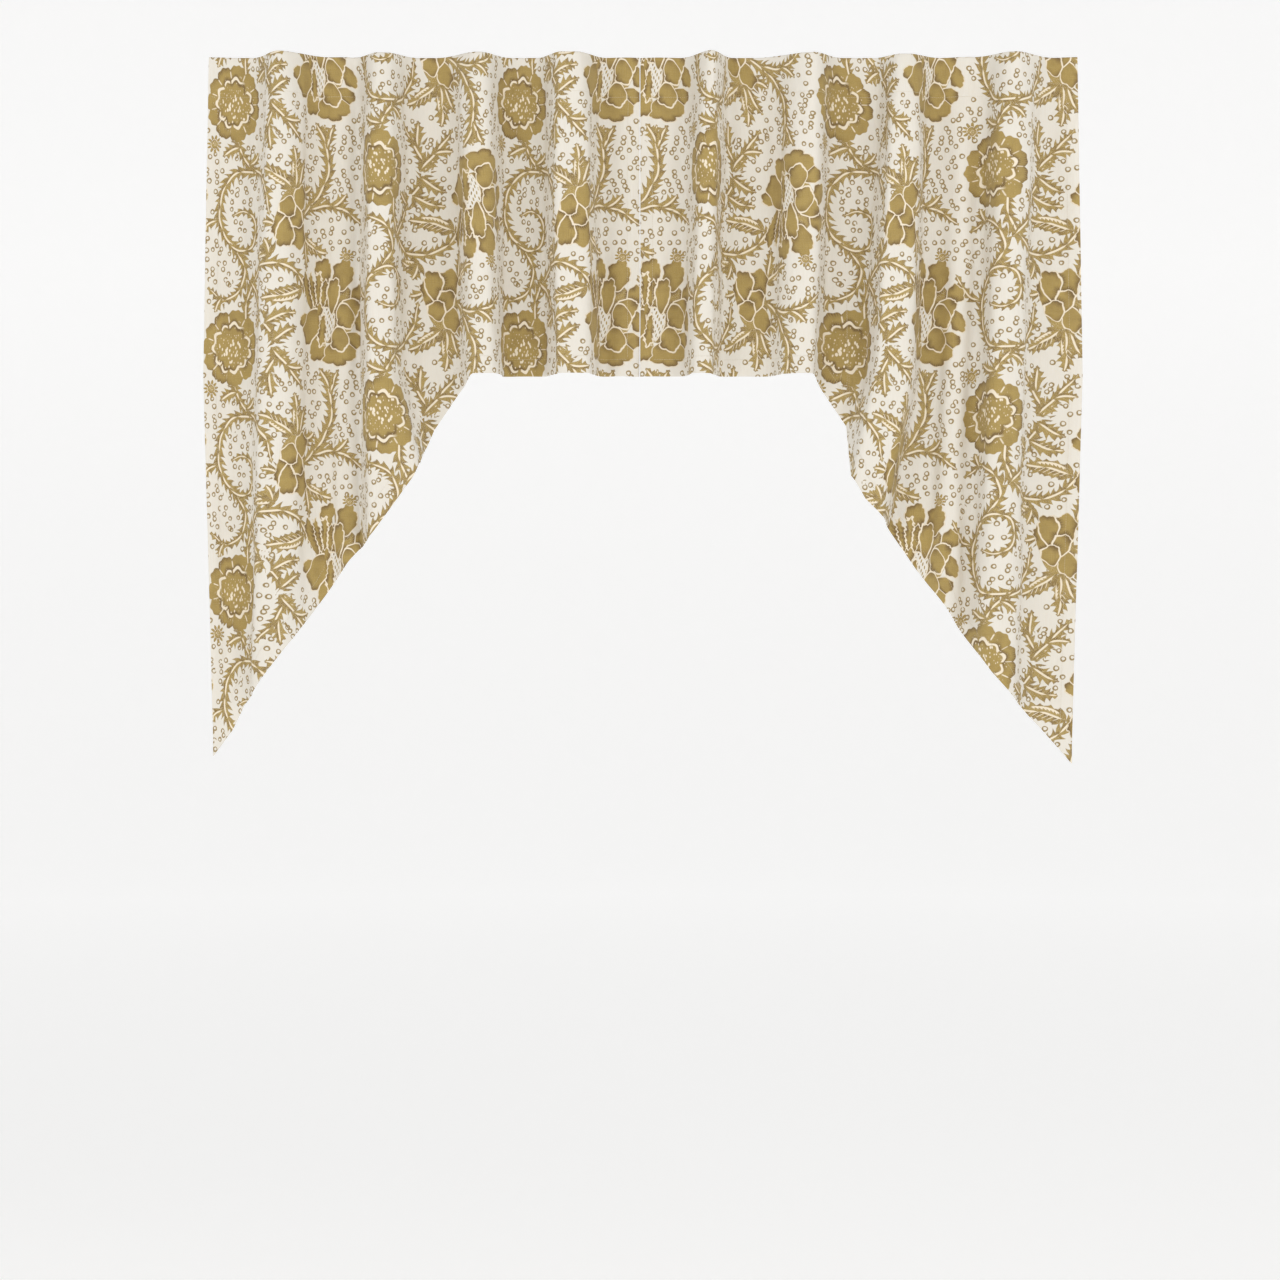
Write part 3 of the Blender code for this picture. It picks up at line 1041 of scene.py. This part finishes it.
# Sizes of what the material draws, in millimetres of the print
BARB_PITCH = 9.2           # from barb to barb along one side of a stem
ADDED_PITCH = 2.4          # how much further apart the barbs of the other side are
BARB_LENGTH = 7.0          # of a full barb on one side
ADDED_LENGTH = 1.2         # how much longer the barbs of the other side are
BARB_LEAN = 1.6            # how far a barb leans forward for each millimetre out
BARB_CURVE = 1.35          # power of the saw wave, which makes a barb's back hollow
RIB_PITCH = 31.0           # from dash to dash of the bare midrib
WIDEST_RIB = 1.4
BROAD_LEAF = 7.2           # half width from which a leaf has a bare pane on one side
VEINED_LEAF = 5.9          # half width from which a leaf has bare veins on the other side
VEIN_PITCH = 6.8
DEEPEST_LOBE = 3.2         # between the lobes at the tip of a petal
RUFFLED_SHARE = 0.24       # a petal has ruffled sides if its width is less of its two breadths
ROSETTE_LOBES = 11
ROSETTE_EDGE = 44.5        # from the middle of a rosette to the feet of its lobes
LOBE_HEIGHT = 6.0
BURR_SCALE = 0.5           # a rosette under this scale is a burr
WREATH = 30.5              # from the middle of a rosette to its cream wreath
HEART = 38.0               # from the middle of a rosette, how far its flecks reach


def draw_stem(place):
    """A stem or leaf with leaning barbs on both sides and a midrib of bare dashes.

    The barbs are a saw wave along the stem, slanted by the distance from it and raised to a power,
    which curves them forward. Broad leaves also have a toothed bare pane on one side and slanting
    bare veins on the other.
    """
    across, along, width = place
    off = abs(across)
    one_side = across.under(0.0, 0.01)
    pitch = one_side.times_plus(ADDED_PITCH, BARB_PITCH)
    wander = (along * 0.37).sin()
    tooth = ((wander.times_plus(1.2, along) - off * BARB_LEAN) / pitch).fraction()
    # Barbs are shorter on the thinnest stems and on broad leaves, and no two are quite alike
    full = one_side.times_plus(ADDED_LENGTH, BARB_LENGTH)
    longest = width.times_plus(2.0, -0.3).at_least(0.0).at_most(full)
    longest = longest * (along * 0.117 + 1.0).sin().times_plus(0.16, 0.96)
    longest = longest * width.over(7.0, 1.4).times_plus(-0.55, 1.0)
    reach = longest * tooth.times_plus(-1.0, 1.0) ** BARB_CURVE + width
    ink = (off - reach).under(-0.2, 0.35) * width.over(0.25, 0.1)

    waver = (along * 0.19).sin() * 0.5
    dash = (along * (1 / RIB_PITCH)).fraction()
    swell = (dash * math.pi).sin().times_plus(1.6, 0.0, clamp=True)
    rib = (width * 0.38).at_most(WIDEST_RIB) * swell
    beside = abs(across - waver) - rib
    cream = beside.under(-0.15, 0.3) * width.over(1.2, 0.4)
    teeth = (along * 0.22).fraction() * width * 0.26
    pane = (off - width * 0.40 - teeth).over(0.0, 0.3) * (off - width * 0.86).under(0.0, 0.3)
    broad = width.over(BROAD_LEAF, 0.4) * one_side
    cream = cream.at_least(pane * broad)
    slant = ((along - off * 1.15) * (1 / VEIN_PITCH)).fraction()
    vein = abs(slant - 0.5).under(0.09, 0.07) * (off - width * 0.74).under(0.0, 0.5)
    cream = cream.at_least(vein * width.over(VEINED_LEAF, 0.5) * (1 - one_side))

    # Dark hatching on one side of the midrib and along stretches of the edge
    strokes = (along * 4.1 - off * 1.5).sin().times_plus(0.35, 0.75, clamp=True)
    lee = beside.under(width * 0.25 + 1.6, 2.4) * beside.over(0.3, 0.3)
    lee = lee * (along * 0.083).fraction().over(0.30, 0.3)
    edge = (reach - off).under(2.6, 2.6) * (along * 0.043 + 0.4).fraction().over(0.45, 0.4)
    return Masks(ink, cream, (lee * (1 - one_side)).at_least(edge) * strokes * ink)


def draw_petal(place):
    """A petal with a cream outline, lobes along its tip, and hatching at the tip and around it.

    Its outline is 1 from the middle. The distance to it in millimetres is the distance in the
    petal, divided by how steeply that grows there. Narrow petals have ruffled sides.
    """
    x, y, breadths = place
    packed = abs(breadths)
    bare = breadths.under(0.0, 0.1)
    share = packed.fraction()
    both = packed - share
    wide = both * share
    tall = both - wide
    size = both * 0.5
    # Slow waves across and along shake the oval a little
    x = y.times_plus(6.1, size).sin().times_plus(0.06, x)
    y = x.times_plus(3.9, size * 1.9).sin().times_plus(0.05, y)
    radius = (x * x + y * y).root()
    slope = ((x / wide) ** 2.0 + (y / tall) ** 2.0).root() / radius
    angle = x.angle_from(-y)
    tipward = y.times_plus(-0.9, 0.55, clamp=True)
    depth = size.times_plus(0.23, -1.5).at_least(0.0).at_most(DEEPEST_LOBE) * tipward
    lobes = abs(angle.times_plus(3.3, size).sin()) + abs((angle * 7.1).sin()) * 0.35
    ruffle = (y * tall).times_plus(0.95, size).sin() * share.under(RUFFLED_SHARE, 0.04) * 0.8
    distance = (radius - 1.0) / slope - (lobes - 0.6) * depth + ruffle
    body = distance.under(0.0, 0.4)
    line = abs(distance).under(angle.times_plus(2.0, size).sin().times_plus(0.3, 0.85), 0.4)
    # Dark hatching: round the petal, along its tip and at its root
    strokes = (angle * size * 3.4).sin().times_plus(0.3, 0.8, clamp=True)
    shadow = distance.times_plus(-0.17, 1.2, clamp=True) * (angle + size * 1.7).sin().over(0.2, 0.7)
    rim = distance.times_plus(0.16, 1.25, clamp=True) * tipward.over(0.35, 0.45)
    rim = rim * (angle * 2.0 + size * 1.3).sin().over(0.1, 0.7)
    root = y.over(0.74, 0.4)
    speck = ((x * 13.0).sin() * (y * 11.0 + x * 3.0).sin()).over(0.45, 0.1)
    return body, line, shadow * strokes, rim.at_least(root) * strokes, bare, speck


def draw_petals(body_place, places):
    """Petals painted over each other and over the body of their bloom, the oldest first."""
    x, y, _ = body_place
    ink = (x * x + y * y).under(1.0, 0.03)
    cream = dark = ink * 0.0
    for place in places:
        body, line, shadow, rim, bare, speck = draw_petal(place)
        keep = 1 - body
        ink = ink * keep + body * (1 - bare * (1 - speck))
        cream = (cream * keep).at_least(line)
        dark = (dark.at_least(shadow) * keep).at_least(rim * body)
    return Masks(ink, cream * ink, dark * ink)


def draw_rosette(bench, place):
    """A round bloom: lobed rim, broken cream wreath, flecked heart and hatched petals.

    A small one is drawn as a burr, whose lobes are drawn out into spikes.
    """
    x, y, scale = place
    radius = (x * x + y * y).root()
    angle = y.angle_from(x)
    wavy = (angle * 2.0).sin()
    lobes = angle.times_plus(ROSETTE_LOBES / 2, wavy * 0.5 + 0.4)
    spikes = abs(lobes.sin()).times_plus(30.0, -19.0) * scale.under(BURR_SCALE, 0.1)
    rim = abs(lobes.sin()) ** 0.6 * LOBE_HEIGHT + (angle * 29.0).sin() * 0.8 + spikes
    outside = radius - rim
    ink = outside.under(ROSETTE_EDGE, 0.45)

    # Bare: a waving wreath with gaps, a spur between each two petals, and flecks in the heart
    round_wreath = (angle * 4.0 + 1.0).sin() * 1.1 + WREATH
    wreath = (angle * float(ROSETTE_LOBES)).sin().times_plus(2.0, round_wreath)
    broken = angle.times_plus(8.0, (angle * 3.0).sin() * 2.0).sin().over(-0.82, 0.12)
    cream = abs(radius - wreath).under((angle * 6.5).sin().times_plus(0.5, 1.9), 0.45) * broken
    petal = (lobes * (1 / math.pi)).fraction()
    spoke = (0.5 - abs(petal - 0.5)) * radius * (2 * math.pi / ROSETTE_LOBES)
    spur = spoke.under(0.8, 0.4) * abs(radius - HEART).under(4.2, 1.0) * broken
    heart_place = bench.vector(x, y * 0.6)
    dots = bench.add("ShaderNodeTexVoronoi", {"voronoi_dimensions": "2D"},
                     {"Vector": heart_place, "Scale": 0.22, "Randomness": 0.9})
    low = (x * x + (y - 8.0) ** 2.0).times_plus(-1 / 800.0, 1.0, clamp=True)
    patches = bench.noise(heart_place, 0.12, 1.0).times_plus(2.6, -0.85, clamp=True)
    flecks = dots.under(patches * low.times_plus(0.42, 0.14), 0.07) * radius.under(HEART, 2.0)

    # Dark hatching: outside the wreath, at the tips of the petals and inside the wreath
    strokes = (angle * 104.0).sin().times_plus(0.35, 0.8, clamp=True)
    from_wreath = radius - wreath
    foot = from_wreath.times_plus(-0.18, 1.45, clamp=True) * from_wreath.over(0.6, 0.6)
    foot = foot * angle.times_plus(3.0, 0.8).sin().over(-0.1, 0.7)
    tips = outside.times_plus(0.12, -4.35, clamp=True)
    tips = tips * angle.times_plus(3.0, 2.0).sin().over(0.1, 0.7)
    inner = abs(from_wreath + 3.4).under(2.4, 2.0)
    inner = inner * angle.times_plus(2.0, 4.2).sin().over(0.1, 0.7)
    dark = foot.at_least(tips).at_least(inner) * strokes
    return Masks(ink, cream.at_least(spur).at_least(flecks) * ink, dark * ink)


def draw_ring(place):
    """A thin, slightly squared ring."""
    x, y, size = place
    radius = (x * x + y * y).root()
    angle = y.angle_from(x) + size * 40.0
    squared = (angle * 3.0).sin() * 0.12
    return abs(radius + squared - size).under(angle.sin().times_plus(0.24, 0.84), 0.35)


def over_all(lower, upper):
    """One drawing laid over another."""
    bare = 1 - upper.ink
    return Masks(
        lower.ink.at_least(upper.ink),
        (lower.cream * bare).at_least(upper.cream),
        (lower.dark * bare).at_least(upper.dark),
    )


def draw_print(bench):
    """The whole print, from the rings up to the blooms."""
    ring = reduce(Wire.at_least, map(draw_ring, bench.layers("ring", RING_LAYERS)))
    drawing = Masks(ring, ring * 0.0, ring * 0.45)
    for place in bench.layers("stem", STEM_LAYERS):
        drawing = over_all(drawing, draw_stem(place))
    petals = draw_petals(bench.held("body_1"), bench.layers("petal", PETAL_LAYERS))
    drawing = over_all(drawing, petals)
    return over_all(drawing, draw_rosette(bench, bench.held("rosette_1")))


# The cotton: how often its threads thicken across and down, for each metre
UPRIGHT_SLUBS = (1400.0, 36.0)
LEVEL_PICKS = (30.0, 1500.0)
PATCHES = 34.0             # blotches of darker ink, for each metre
GRAIN = 900.0              # specks where the ink is worn, for each metre
PLAIN_SIDE_HIDES = 0.58    # how much of the print doesn't show on the plain side
GROOVE_WIDTH = 0.0016      # metres beside a line of stitching that are pressed in
PUCKER_WIDTH = 0.005       # metres beside a line of stitching that are puckered


def printed_cotton(colours):
    """Slubby plain-woven cotton, hand-printed in ochre, paler on its plain side."""
    bench = NodeBench("printed_cotton")
    across, down, seam = bench.held("cloth")
    _, _, plain_side = bench.held("side")
    drawing = draw_print(bench)

    upright = bench.vector(across * UPRIGHT_SLUBS[0], down * UPRIGHT_SLUBS[1])
    level = bench.vector(across * LEVEL_PICKS[0], down * LEVEL_PICKS[1])
    slubs = bench.noise(upright, 1.0, 3.0, 0.6)
    picks = bench.noise(level, 1.0, 2.0, 0.6)
    patches = bench.noise(bench.vector(across, down), PATCHES, 3.0, 0.6)
    grain = bench.noise(bench.vector(across, down), GRAIN, 2.0, 0.7)

    dark = drawing.dark.at_least(slubs.over(0.62, 0.06) * 0.34)
    dark = dark.at_least(patches.over(0.60, 0.14) * 0.26)
    ochre = bench.blend(colours.ochre, colours.ochre_light, picks.over(0.52, 0.2) * 0.6)
    ink_colour = bench.blend(ochre, colours.shade, dark)
    ground = bench.blend(colours.ground, colours.ground_thread, slubs.over(0.55, 0.2))
    worn = drawing.ink * grain.times_plus(-0.30, 1.10, clamp=True)
    colour = bench.blend(ground, ink_colour, worn)
    colour = bench.blend(colour, colours.cream, drawing.cream)
    colour = bench.blend(colour, colours.ground, plain_side * PLAIN_SIDE_HIDES)

    turn = 2 * math.pi / colours.thread_pitch
    warp = (across * turn).sin()
    weft = (down * turn).sin()
    weave = warp * weft
    height = weave.times_plus(0.35, slubs * 0.9 + picks * 0.5)
    groove = seam.under(0.0, GROOVE_WIDTH)
    pucker = (across * 700.0 + down * 520.0).sin() * seam.under(0.004, PUCKER_WIDTH)
    height = height - groove * 3.0 + pucker * 0.9
    bump = bench.add("ShaderNodeBump", None,
                     {"Strength": 0.6, "Distance": 0.00022, "Height": height})
    return bench.finish({
        "Base Color": colour, "Roughness": drawing.ink.times_plus(-0.06, 0.90), "Normal": bump,
        "Specular IOR Level": 0.25, "Sheen Weight": 0.12, "Sheen Roughness": 0.5,
    })


def cotton_thread(colours):
    """Two-ply sewing thread."""
    bench = NodeBench("cotton_thread")
    place = bench.add("ShaderNodeTexCoord", output="Object")
    ply = bench.add("ShaderNodeTexWave", {"bands_direction": "DIAGONAL"},
                    {"Vector": place, "Scale": 900.0, "Distortion": 1.0})
    colour = bench.blend(colours.thread, colours.ground_thread, ply.over(0.6, 0.3) * 0.7)
    bump = bench.add("ShaderNodeBump", None, {"Strength": 0.5, "Distance": 0.0001, "Height": ply})
    return bench.finish(
        {"Base Color": colour, "Roughness": ply.times_plus(-0.1, 0.75), "Normal": bump})


# ------------------------------------------------------------------------------------- stitching


STITCH_RINGS = 5           # rings of points along a stitch
STITCH_SIDES = 4           # points in each ring
STITCH_LIFT = 0.55         # from the cloth to the middle of a stitch, in thicknesses of thread
HEM_SAMPLES = 2400         # used to measure the length of the bottom hem


def thread_stitches(cloth, share, drop, lift, settings):
    """Short threads laid along a seam, one at each point of the line.

    Each is a bent tube, sunk into the cloth at both ends.
    """
    middle = cloth.read(cloth.points, share, drop)
    backward = unit(cloth.read(cloth.backward, share, drop))
    heading = unit(np.gradient(middle, axis=0))
    sideways = unit(np.cross(heading, backward))
    backward = np.cross(sideways, heading)
    along = np.linspace(-0.5, 0.5, STITCH_RINGS)
    sunk = settings.thread * (4 * along ** 2)
    outward = np.sign(lift)
    centre = (middle[:, None] + heading[:, None] * (along * settings.stitch_length)[:, None]
              + backward[:, None] * (lift - outward * sunk)[:, None])
    angle = (np.arange(STITCH_SIDES) + 0.5) * 2 * math.pi / STITCH_SIDES
    radius = settings.thread / 2
    ring = (np.cos(angle)[:, None] * sideways[:, None, None]
            + np.sin(angle)[:, None] * backward[:, None, None]) * radius
    points = centre[:, :, None] + ring
    index = np.arange(STITCH_RINGS * STITCH_SIDES).reshape(STITCH_RINGS, STITCH_SIDES)
    around = np.concatenate((index, index[:, :1]), axis=1)
    tube = around.ravel()[grid_faces(*around.shape)]
    faces = np.concatenate((tube, np.stack((index[0], index[-1, ::-1]))))
    first = index.size * np.arange(len(share))
    return points.reshape(-1, 3), (faces + first[:, None, None]).reshape(-1, 4)


def stitch_lines(cloth, settings):
    """Shares and drops of the stitches of a panel: casing, side hems and bottom hem."""
    width = cloth.width
    inset = settings.stitch_inset
    side = settings.side_hem - inset
    pitch = settings.stitch_pitch
    across = np.arange(pitch, width - pitch, pitch)
    lines = [(across / width, np.full(len(across), settings.casing))]
    for share in (side / width, 1 - side / width):
        hem = float(cloth.hem_of(np.array((share,)))[0])
        down = np.arange(settings.casing + pitch, hem - settings.bottom_hem, pitch)
        lines.append((np.full(len(down), share), down))
    fine = np.linspace(side, width - side, HEM_SAMPLES)
    hem = cloth.hem_of(fine / width)
    slope = np.gradient(hem, fine)
    rise = hem - (settings.bottom_hem - inset) * np.hypot(1, slope)
    gone = np.concatenate(([0.0], np.cumsum(np.hypot(np.diff(fine), np.diff(rise)))))
    spots = np.arange(pitch, gone[-1], pitch)
    lines.append((np.interp(spots, gone, fine) / width, np.interp(spots, gone, rise)))
    return lines


# --------------------------------------------------------------------------- settings and operators


def length_field(name, description, default, low, high, digits=4):
    """A length in metres that the sidebar shows."""
    return FloatProperty(name=name, description=description, default=default, min=low, max=high,
                         unit="LENGTH", precision=digits)


def colour_field(name, description, default):
    """A colour that the sidebar shows."""
    return FloatVectorProperty(name=name, description=description, default=default, min=0, max=1,
                               subtype="COLOR")


def number_field(name, description, default, low, high):
    """A plain number that the sidebar shows."""
    return FloatProperty(name=name, description=description, default=default, min=low, max=high)


class DrapeClothSettings(bpy.types.PropertyGroup):
    thickness: length_field(
        "Cloth", "Thickness of one layer of cotton", 0.0007, 0.0002, 0.003, digits=5)
    ripple: length_field(
        "Ripple", "Height of the low soft ripples between the folds", 0.0013, 0.0, 0.006)
    flare: length_field(
        "Hem Curl", "How far the hem curls to and fro", 0.0028, 0.0, 0.01)
    casing: length_field(
        "Casing", "Top edge down to the casing's stitching", 0.052, 0.02, 0.1)
    casing_lip: length_field(
        "Casing Lip", "Cloth of the casing below its stitching", 0.003, 0.001, 0.01)
    casing_gap: length_field(
        "Casing Fullness", "Layer to layer at the rounded top of the casing", 0.0036, 0.001, 0.01)
    side_hem: length_field(
        "Side Hem", "Depth of the turned side hems", 0.018, 0.008, 0.05)
    bottom_hem: length_field(
        "Bottom Hem", "Depth of the turned bottom hem", 0.024, 0.008, 0.05)
    hem_gap: length_field(
        "Hem Fullness", "Layer to layer in a hem", 0.0012, 0.0008, 0.003)
    stitch_inset: length_field(
        "Stitch Inset", "Stitching in from the raw edge of a hem", 0.002, 0.001, 0.006)
    stitch_pitch: length_field(
        "Stitch Pitch", "From one stitch to the next", 0.0032, 0.002, 0.008)
    stitch_length: length_field(
        "Stitch Length", "Length of thread that shows in a stitch", 0.0025, 0.001, 0.007)
    thread: length_field(
        "Thread", "Thickness of the sewing thread", 0.00032, 0.0002, 0.001, digits=5)


class DrapeColourSettings(bpy.types.PropertyGroup):
    ground: colour_field("Ground", "Bare cotton", (0.768, 0.737, 0.674))
    ground_thread: colour_field(
        "Ground Slub", "Thicker threads of the bare cotton", (0.740, 0.695, 0.615))
    ochre: colour_field("Ochre", "Printed flowers and stems", (0.366, 0.252, 0.062))
    ochre_light: colour_field("Light Ochre", "Where the ink is thin", (0.440, 0.314, 0.096))
    shade: colour_field("Shade", "Hatching and the darkest ink", (0.100, 0.046, 0.008))
    cream: colour_field("Cream", "Veins and outlines left in the ink", (0.840, 0.745, 0.590))
    thread: colour_field("Thread", "Sewing thread", (0.640, 0.560, 0.420))
    thread_pitch: length_field(
        "Weave", "Two threads of the weave", 0.0011, 0.0004, 0.004, digits=5)


class DrapeStageSettings(bpy.types.PropertyGroup):
    floor_drop: length_field("Floor", "Top edge down to the floor", 1.85, 1.0, 4.0)
    room: length_field(
        "Room", "From the drape to the foot of the curved wall", 9.0, 6.0, 20.0)
    wall: length_field("Wall", "Height of the curved wall", 9.0, 4.0, 20.0)
    paint: colour_field("Paint", "Floor and wall", (0.62, 0.62, 0.62))
    camera_distance: length_field("Camera Distance", "From the drape", 4.0, 1.0, 8.0)
    camera_drop: length_field("Camera Drop", "Below the top edge", 0.764, 0.0, 2.0)
    lens: number_field("Lens", "Focal length in millimetres", 85.7, 20, 300)
    key_power: number_field("Key Light", "Power in watts", 47.0, 0, 2000)
    fill_power: number_field("Fill Light", "Power in watts", 41.0, 0, 2000)
    sky: number_field("Sky", "Strength of the even light from all round", 0.42, 0, 5)
    glow: number_field("Glow", "Light that the room gives off by itself", 0.46, 0, 2)


class DRAPE_OT_cloth(bpy.types.Operator):
    """Make the two panels of printed cotton, with their casings and hems"""

    bl_idname = "drape.cloth"
    bl_label = "Cloth Panels"

    def execute(self, context):
        settings = context.scene.drape_cloth
        material = printed_cotton(context.scene.drape_colours)
        for panel in PANELS:
            cloth = HangingCloth(panel, settings.ripple, settings.flare)
            self.make_panel(panel, cloth, settings, material)
        return {"FINISHED"}

    def make_panel(self, panel, cloth, settings, material):
        """One panel as a closed shell, with its print and its flat map; its flat size is worked out
        but not kept.
        """
        layout = lay_out_cloth(cloth, settings)
        printed, plain = panel_surfaces(cloth, layout, settings.thickness)
        rows, columns = layout["drop"].shape
        faces = shell_faces(rows, columns)
        if panel.side < 0:
            faces = faces[:, ::-1]
        points = np.concatenate((printed.reshape(-1, 3), plain.reshape(-1, 3)))
        mesh = mesh_from_arrays(f"{panel.name}_panel", points, faces)

        flat = layout["flat"].reshape(-1, 2)
        flat = np.concatenate((flat, flat))
        seam = np.tile(seam_distance(layout, cloth, settings).ravel(), 2)
        ahead = np.interp(flat[:, 0], [tuck.place for tuck in panel.tucks],
                          [tuck.ahead for tuck in panel.tucks])
        in_print = flat * 1000.0
        in_print[:, 0] = (in_print[:, 0] + ahead) * panel.side + panel.print_start
        print_on(mesh, in_print[faces])
        keep_on_corners(mesh, "cloth", np.concatenate((flat, seam[:, None]), axis=1)[faces])
        side = np.zeros((*faces.shape, 3))
        count = (rows - 1) * (columns - 1)
        side[count:2 * count, :, 2] = 1.0
        keep_on_corners(mesh, "side", side)
        spots = bake_map(shell_faces(rows, columns), layout)
        if panel.side < 0:
            spots = spots[:, ::-1]
        mesh.uv_layers.new(name="OFBake").uv.foreach_set(
            "vector", np.ascontiguousarray(spots, np.float32).ravel())

        piece = piece_from_mesh(mesh, material)
        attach(piece, "root")
        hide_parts(f"panel_{panel.name}")
        turned_down = settings.casing + settings.casing_lip + settings.bottom_hem
        width = float(cloth.width + 2 * settings.side_hem)
        length = float(panel.hem[-1].drop + turned_down)
        area = width * float(layout["hem"][0].mean() + turned_down)


class DRAPE_OT_stitching(bpy.types.Operator):
    """Sew the casings and hems with rows of thread, on both faces of the cloth"""

    bl_idname = "drape.stitching"
    bl_label = "Stitching"

    def execute(self, context):
        settings = context.scene.drape_cloth
        material = cotton_thread(context.scene.drape_colours)
        for panel in PANELS:
            cloth = HangingCloth(panel, settings.ripple, settings.flare)
            points = []
            faces = []
            total = 0
            off = settings.thickness / 2 + settings.thread * STITCH_LIFT
            for share, drop in stitch_lines(cloth, settings):
                for lift in (-off, settings.hem_gap + off):
                    spots, quads = thread_stitches(cloth, share, drop, lift, settings)
                    points.append(spots)
                    faces.append(quads + total)
                    total += len(spots)
            mesh = mesh_from_arrays(f"{panel.name}_stitching", np.concatenate(points),
                                    np.concatenate(faces))
            piece = piece_from_mesh(mesh, material)
            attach(piece, "root")
        return {"FINISHED"}


# The studio: its lights and the curve between its floor and its wall
WARM_WHITE = (1.0, 0.985, 0.955)
SKY_COLOUR = (1.0, 0.985, 0.96, 1)
KEY_PLACE = (2.1, -3.4, 1.3)
KEY_SIZE = 2.2
FILL_PLACE = (-3.0, -3.6, -0.2)
FILL_SIZE = 3.0
MIDDLE_OF_DRAPE = (0.0, 0.0, -0.4)
ROOM_CURVE = 3.0           # radius of the curve at the foot of the wall
CURVE_STEPS = 12
ROOM_SIDES = 96
FLOOR_RINGS = (0.001, 3.0)  # radii of the first two rings of the floor
SENSOR_WIDTH = 36.0        # of the camera, in millimetres


class DRAPE_OT_stage(bpy.types.Operator):
    """Set up the pale studio, its soft lights and the camera"""

    bl_idname = "drape.stage"
    bl_label = "Stage"

    def execute(self, context):
        settings = context.scene.drape_stage
        self.make_room(settings)
        self.make_light("key_light", KEY_PLACE, KEY_SIZE, settings.key_power)
        self.make_light("fill_light", FILL_PLACE, FILL_SIZE, settings.fill_power)
        context.scene.world = self.make_sky(settings)
        # The default view transform would grey the ground of the cloth and dull the ochre
        context.scene.view_settings.view_transform = "Standard"
        context.scene.camera = self.make_camera(settings)
        return {"FINISHED"}

    def make_sky(self, settings):
        """Even light from all round."""
        world = bpy.data.worlds.new("daylight")
        world.use_nodes = True
        background = world.node_tree.nodes["Background"]
        background.inputs["Color"].default_value = SKY_COLOUR
        background.inputs["Strength"].default_value = settings.sky
        return world

    def make_camera(self, settings):
        """A level camera straight in front of the drape."""
        camera_data = bpy.data.cameras.new("camera")
        camera_data.lens = settings.lens
        camera_data.sensor_width = SENSOR_WIDTH
        camera = bpy.data.objects.new("camera", camera_data)
        camera.location = (0.0, -settings.camera_distance, -settings.camera_drop)
        camera.rotation_euler = (math.pi / 2, 0.0, 0.0)
        bpy.context.scene.collection.objects.link(camera)
        return camera

    def make_room(self, settings):
        """A round floor that curves up into a wall: a profile turned about the upright axis."""
        turn = np.linspace(0, math.pi / 2, CURVE_STEPS + 1)
        curve = settings.room + ROOM_CURVE * np.sin(turn)
        rise = ROOM_CURVE * (1 - np.cos(turn))
        radius = np.concatenate((FLOOR_RINGS, curve, (settings.room + ROOM_CURVE,)))
        height = np.concatenate((np.zeros(len(FLOOR_RINGS)), rise, (settings.wall,)))
        height = height - settings.floor_drop
        angle = np.linspace(0, 2 * math.pi, ROOM_SIDES + 1)
        points = np.stack((radius[:, None] * np.cos(angle), radius[:, None] * np.sin(angle),
                           np.broadcast_to(height[:, None], (len(radius), len(angle)))), axis=-1)
        faces = grid_faces(len(radius), len(angle))
        material = NodeBench("studio_paint").finish({
            "Base Color": settings.paint, "Roughness": 0.9,
            "Emission Color": (1.0, 1.0, 1.0), "Emission Strength": settings.glow,
        })
        room = piece_from_mesh(mesh_from_arrays("studio", points.reshape(-1, 3), faces), material)

    def make_light(self, name, place, size, power):
        """A square soft light that faces the middle of the drape."""
        light = bpy.data.lights.new(name, "AREA")
        light.size = size
        light.energy = power
        light.color = WARM_WHITE
        lamp = bpy.data.objects.new(name, light)
        lamp.location = place
        aim = Vector(MIDDLE_OF_DRAPE) - Vector(place)
        lamp.rotation_euler = aim.to_track_quat("-Z", "Y").to_euler()
        bpy.context.scene.collection.objects.link(lamp)


class DRAPE_PT_sidebar(bpy.types.Panel):
    """Sizes, colours and steps of the drape"""

    bl_label = "Swag and Tail Drape"
    bl_idname = "DRAPE_PT_sidebar"
    bl_space_type = "VIEW_3D"
    bl_region_type = "UI"
    bl_category = "Drape"

    def draw(self, context):
        groups = (("Cloth", "drape_cloth"), ("Colours", "drape_colours"), ("Stage", "drape_stage"))
        for title, name in groups:
            box = self.layout.box()
            box.label(text=title)
            group = getattr(context.scene, name)
            for field in group.__annotations__:
                box.prop(group, field)
        for operator in OPERATORS:
            self.layout.operator(operator.bl_idname)


GROUPS = {
    "drape_cloth": DrapeClothSettings,
    "drape_colours": DrapeColourSettings,
    "drape_stage": DrapeStageSettings,
}
OPERATORS = (DRAPE_OT_stage, DRAPE_OT_cloth, DRAPE_OT_stitching)
CLASSES = (*GROUPS.values(), *OPERATORS, DRAPE_PT_sidebar)


def register():
    for cls in CLASSES:
        bpy.utils.register_class(cls)
    for name, group in GROUPS.items():
        setattr(bpy.types.Scene, name, PointerProperty(type=group))


def unregister():
    for name in GROUPS:
        delattr(bpy.types.Scene, name)
    for cls in reversed(CLASSES):
        bpy.utils.unregister_class(cls)


def main():
    register()
    bpy.ops.drape.stage()
    bpy.ops.drape.cloth()
    bpy.ops.drape.stitching()


if __name__ == "__main__":
    main()
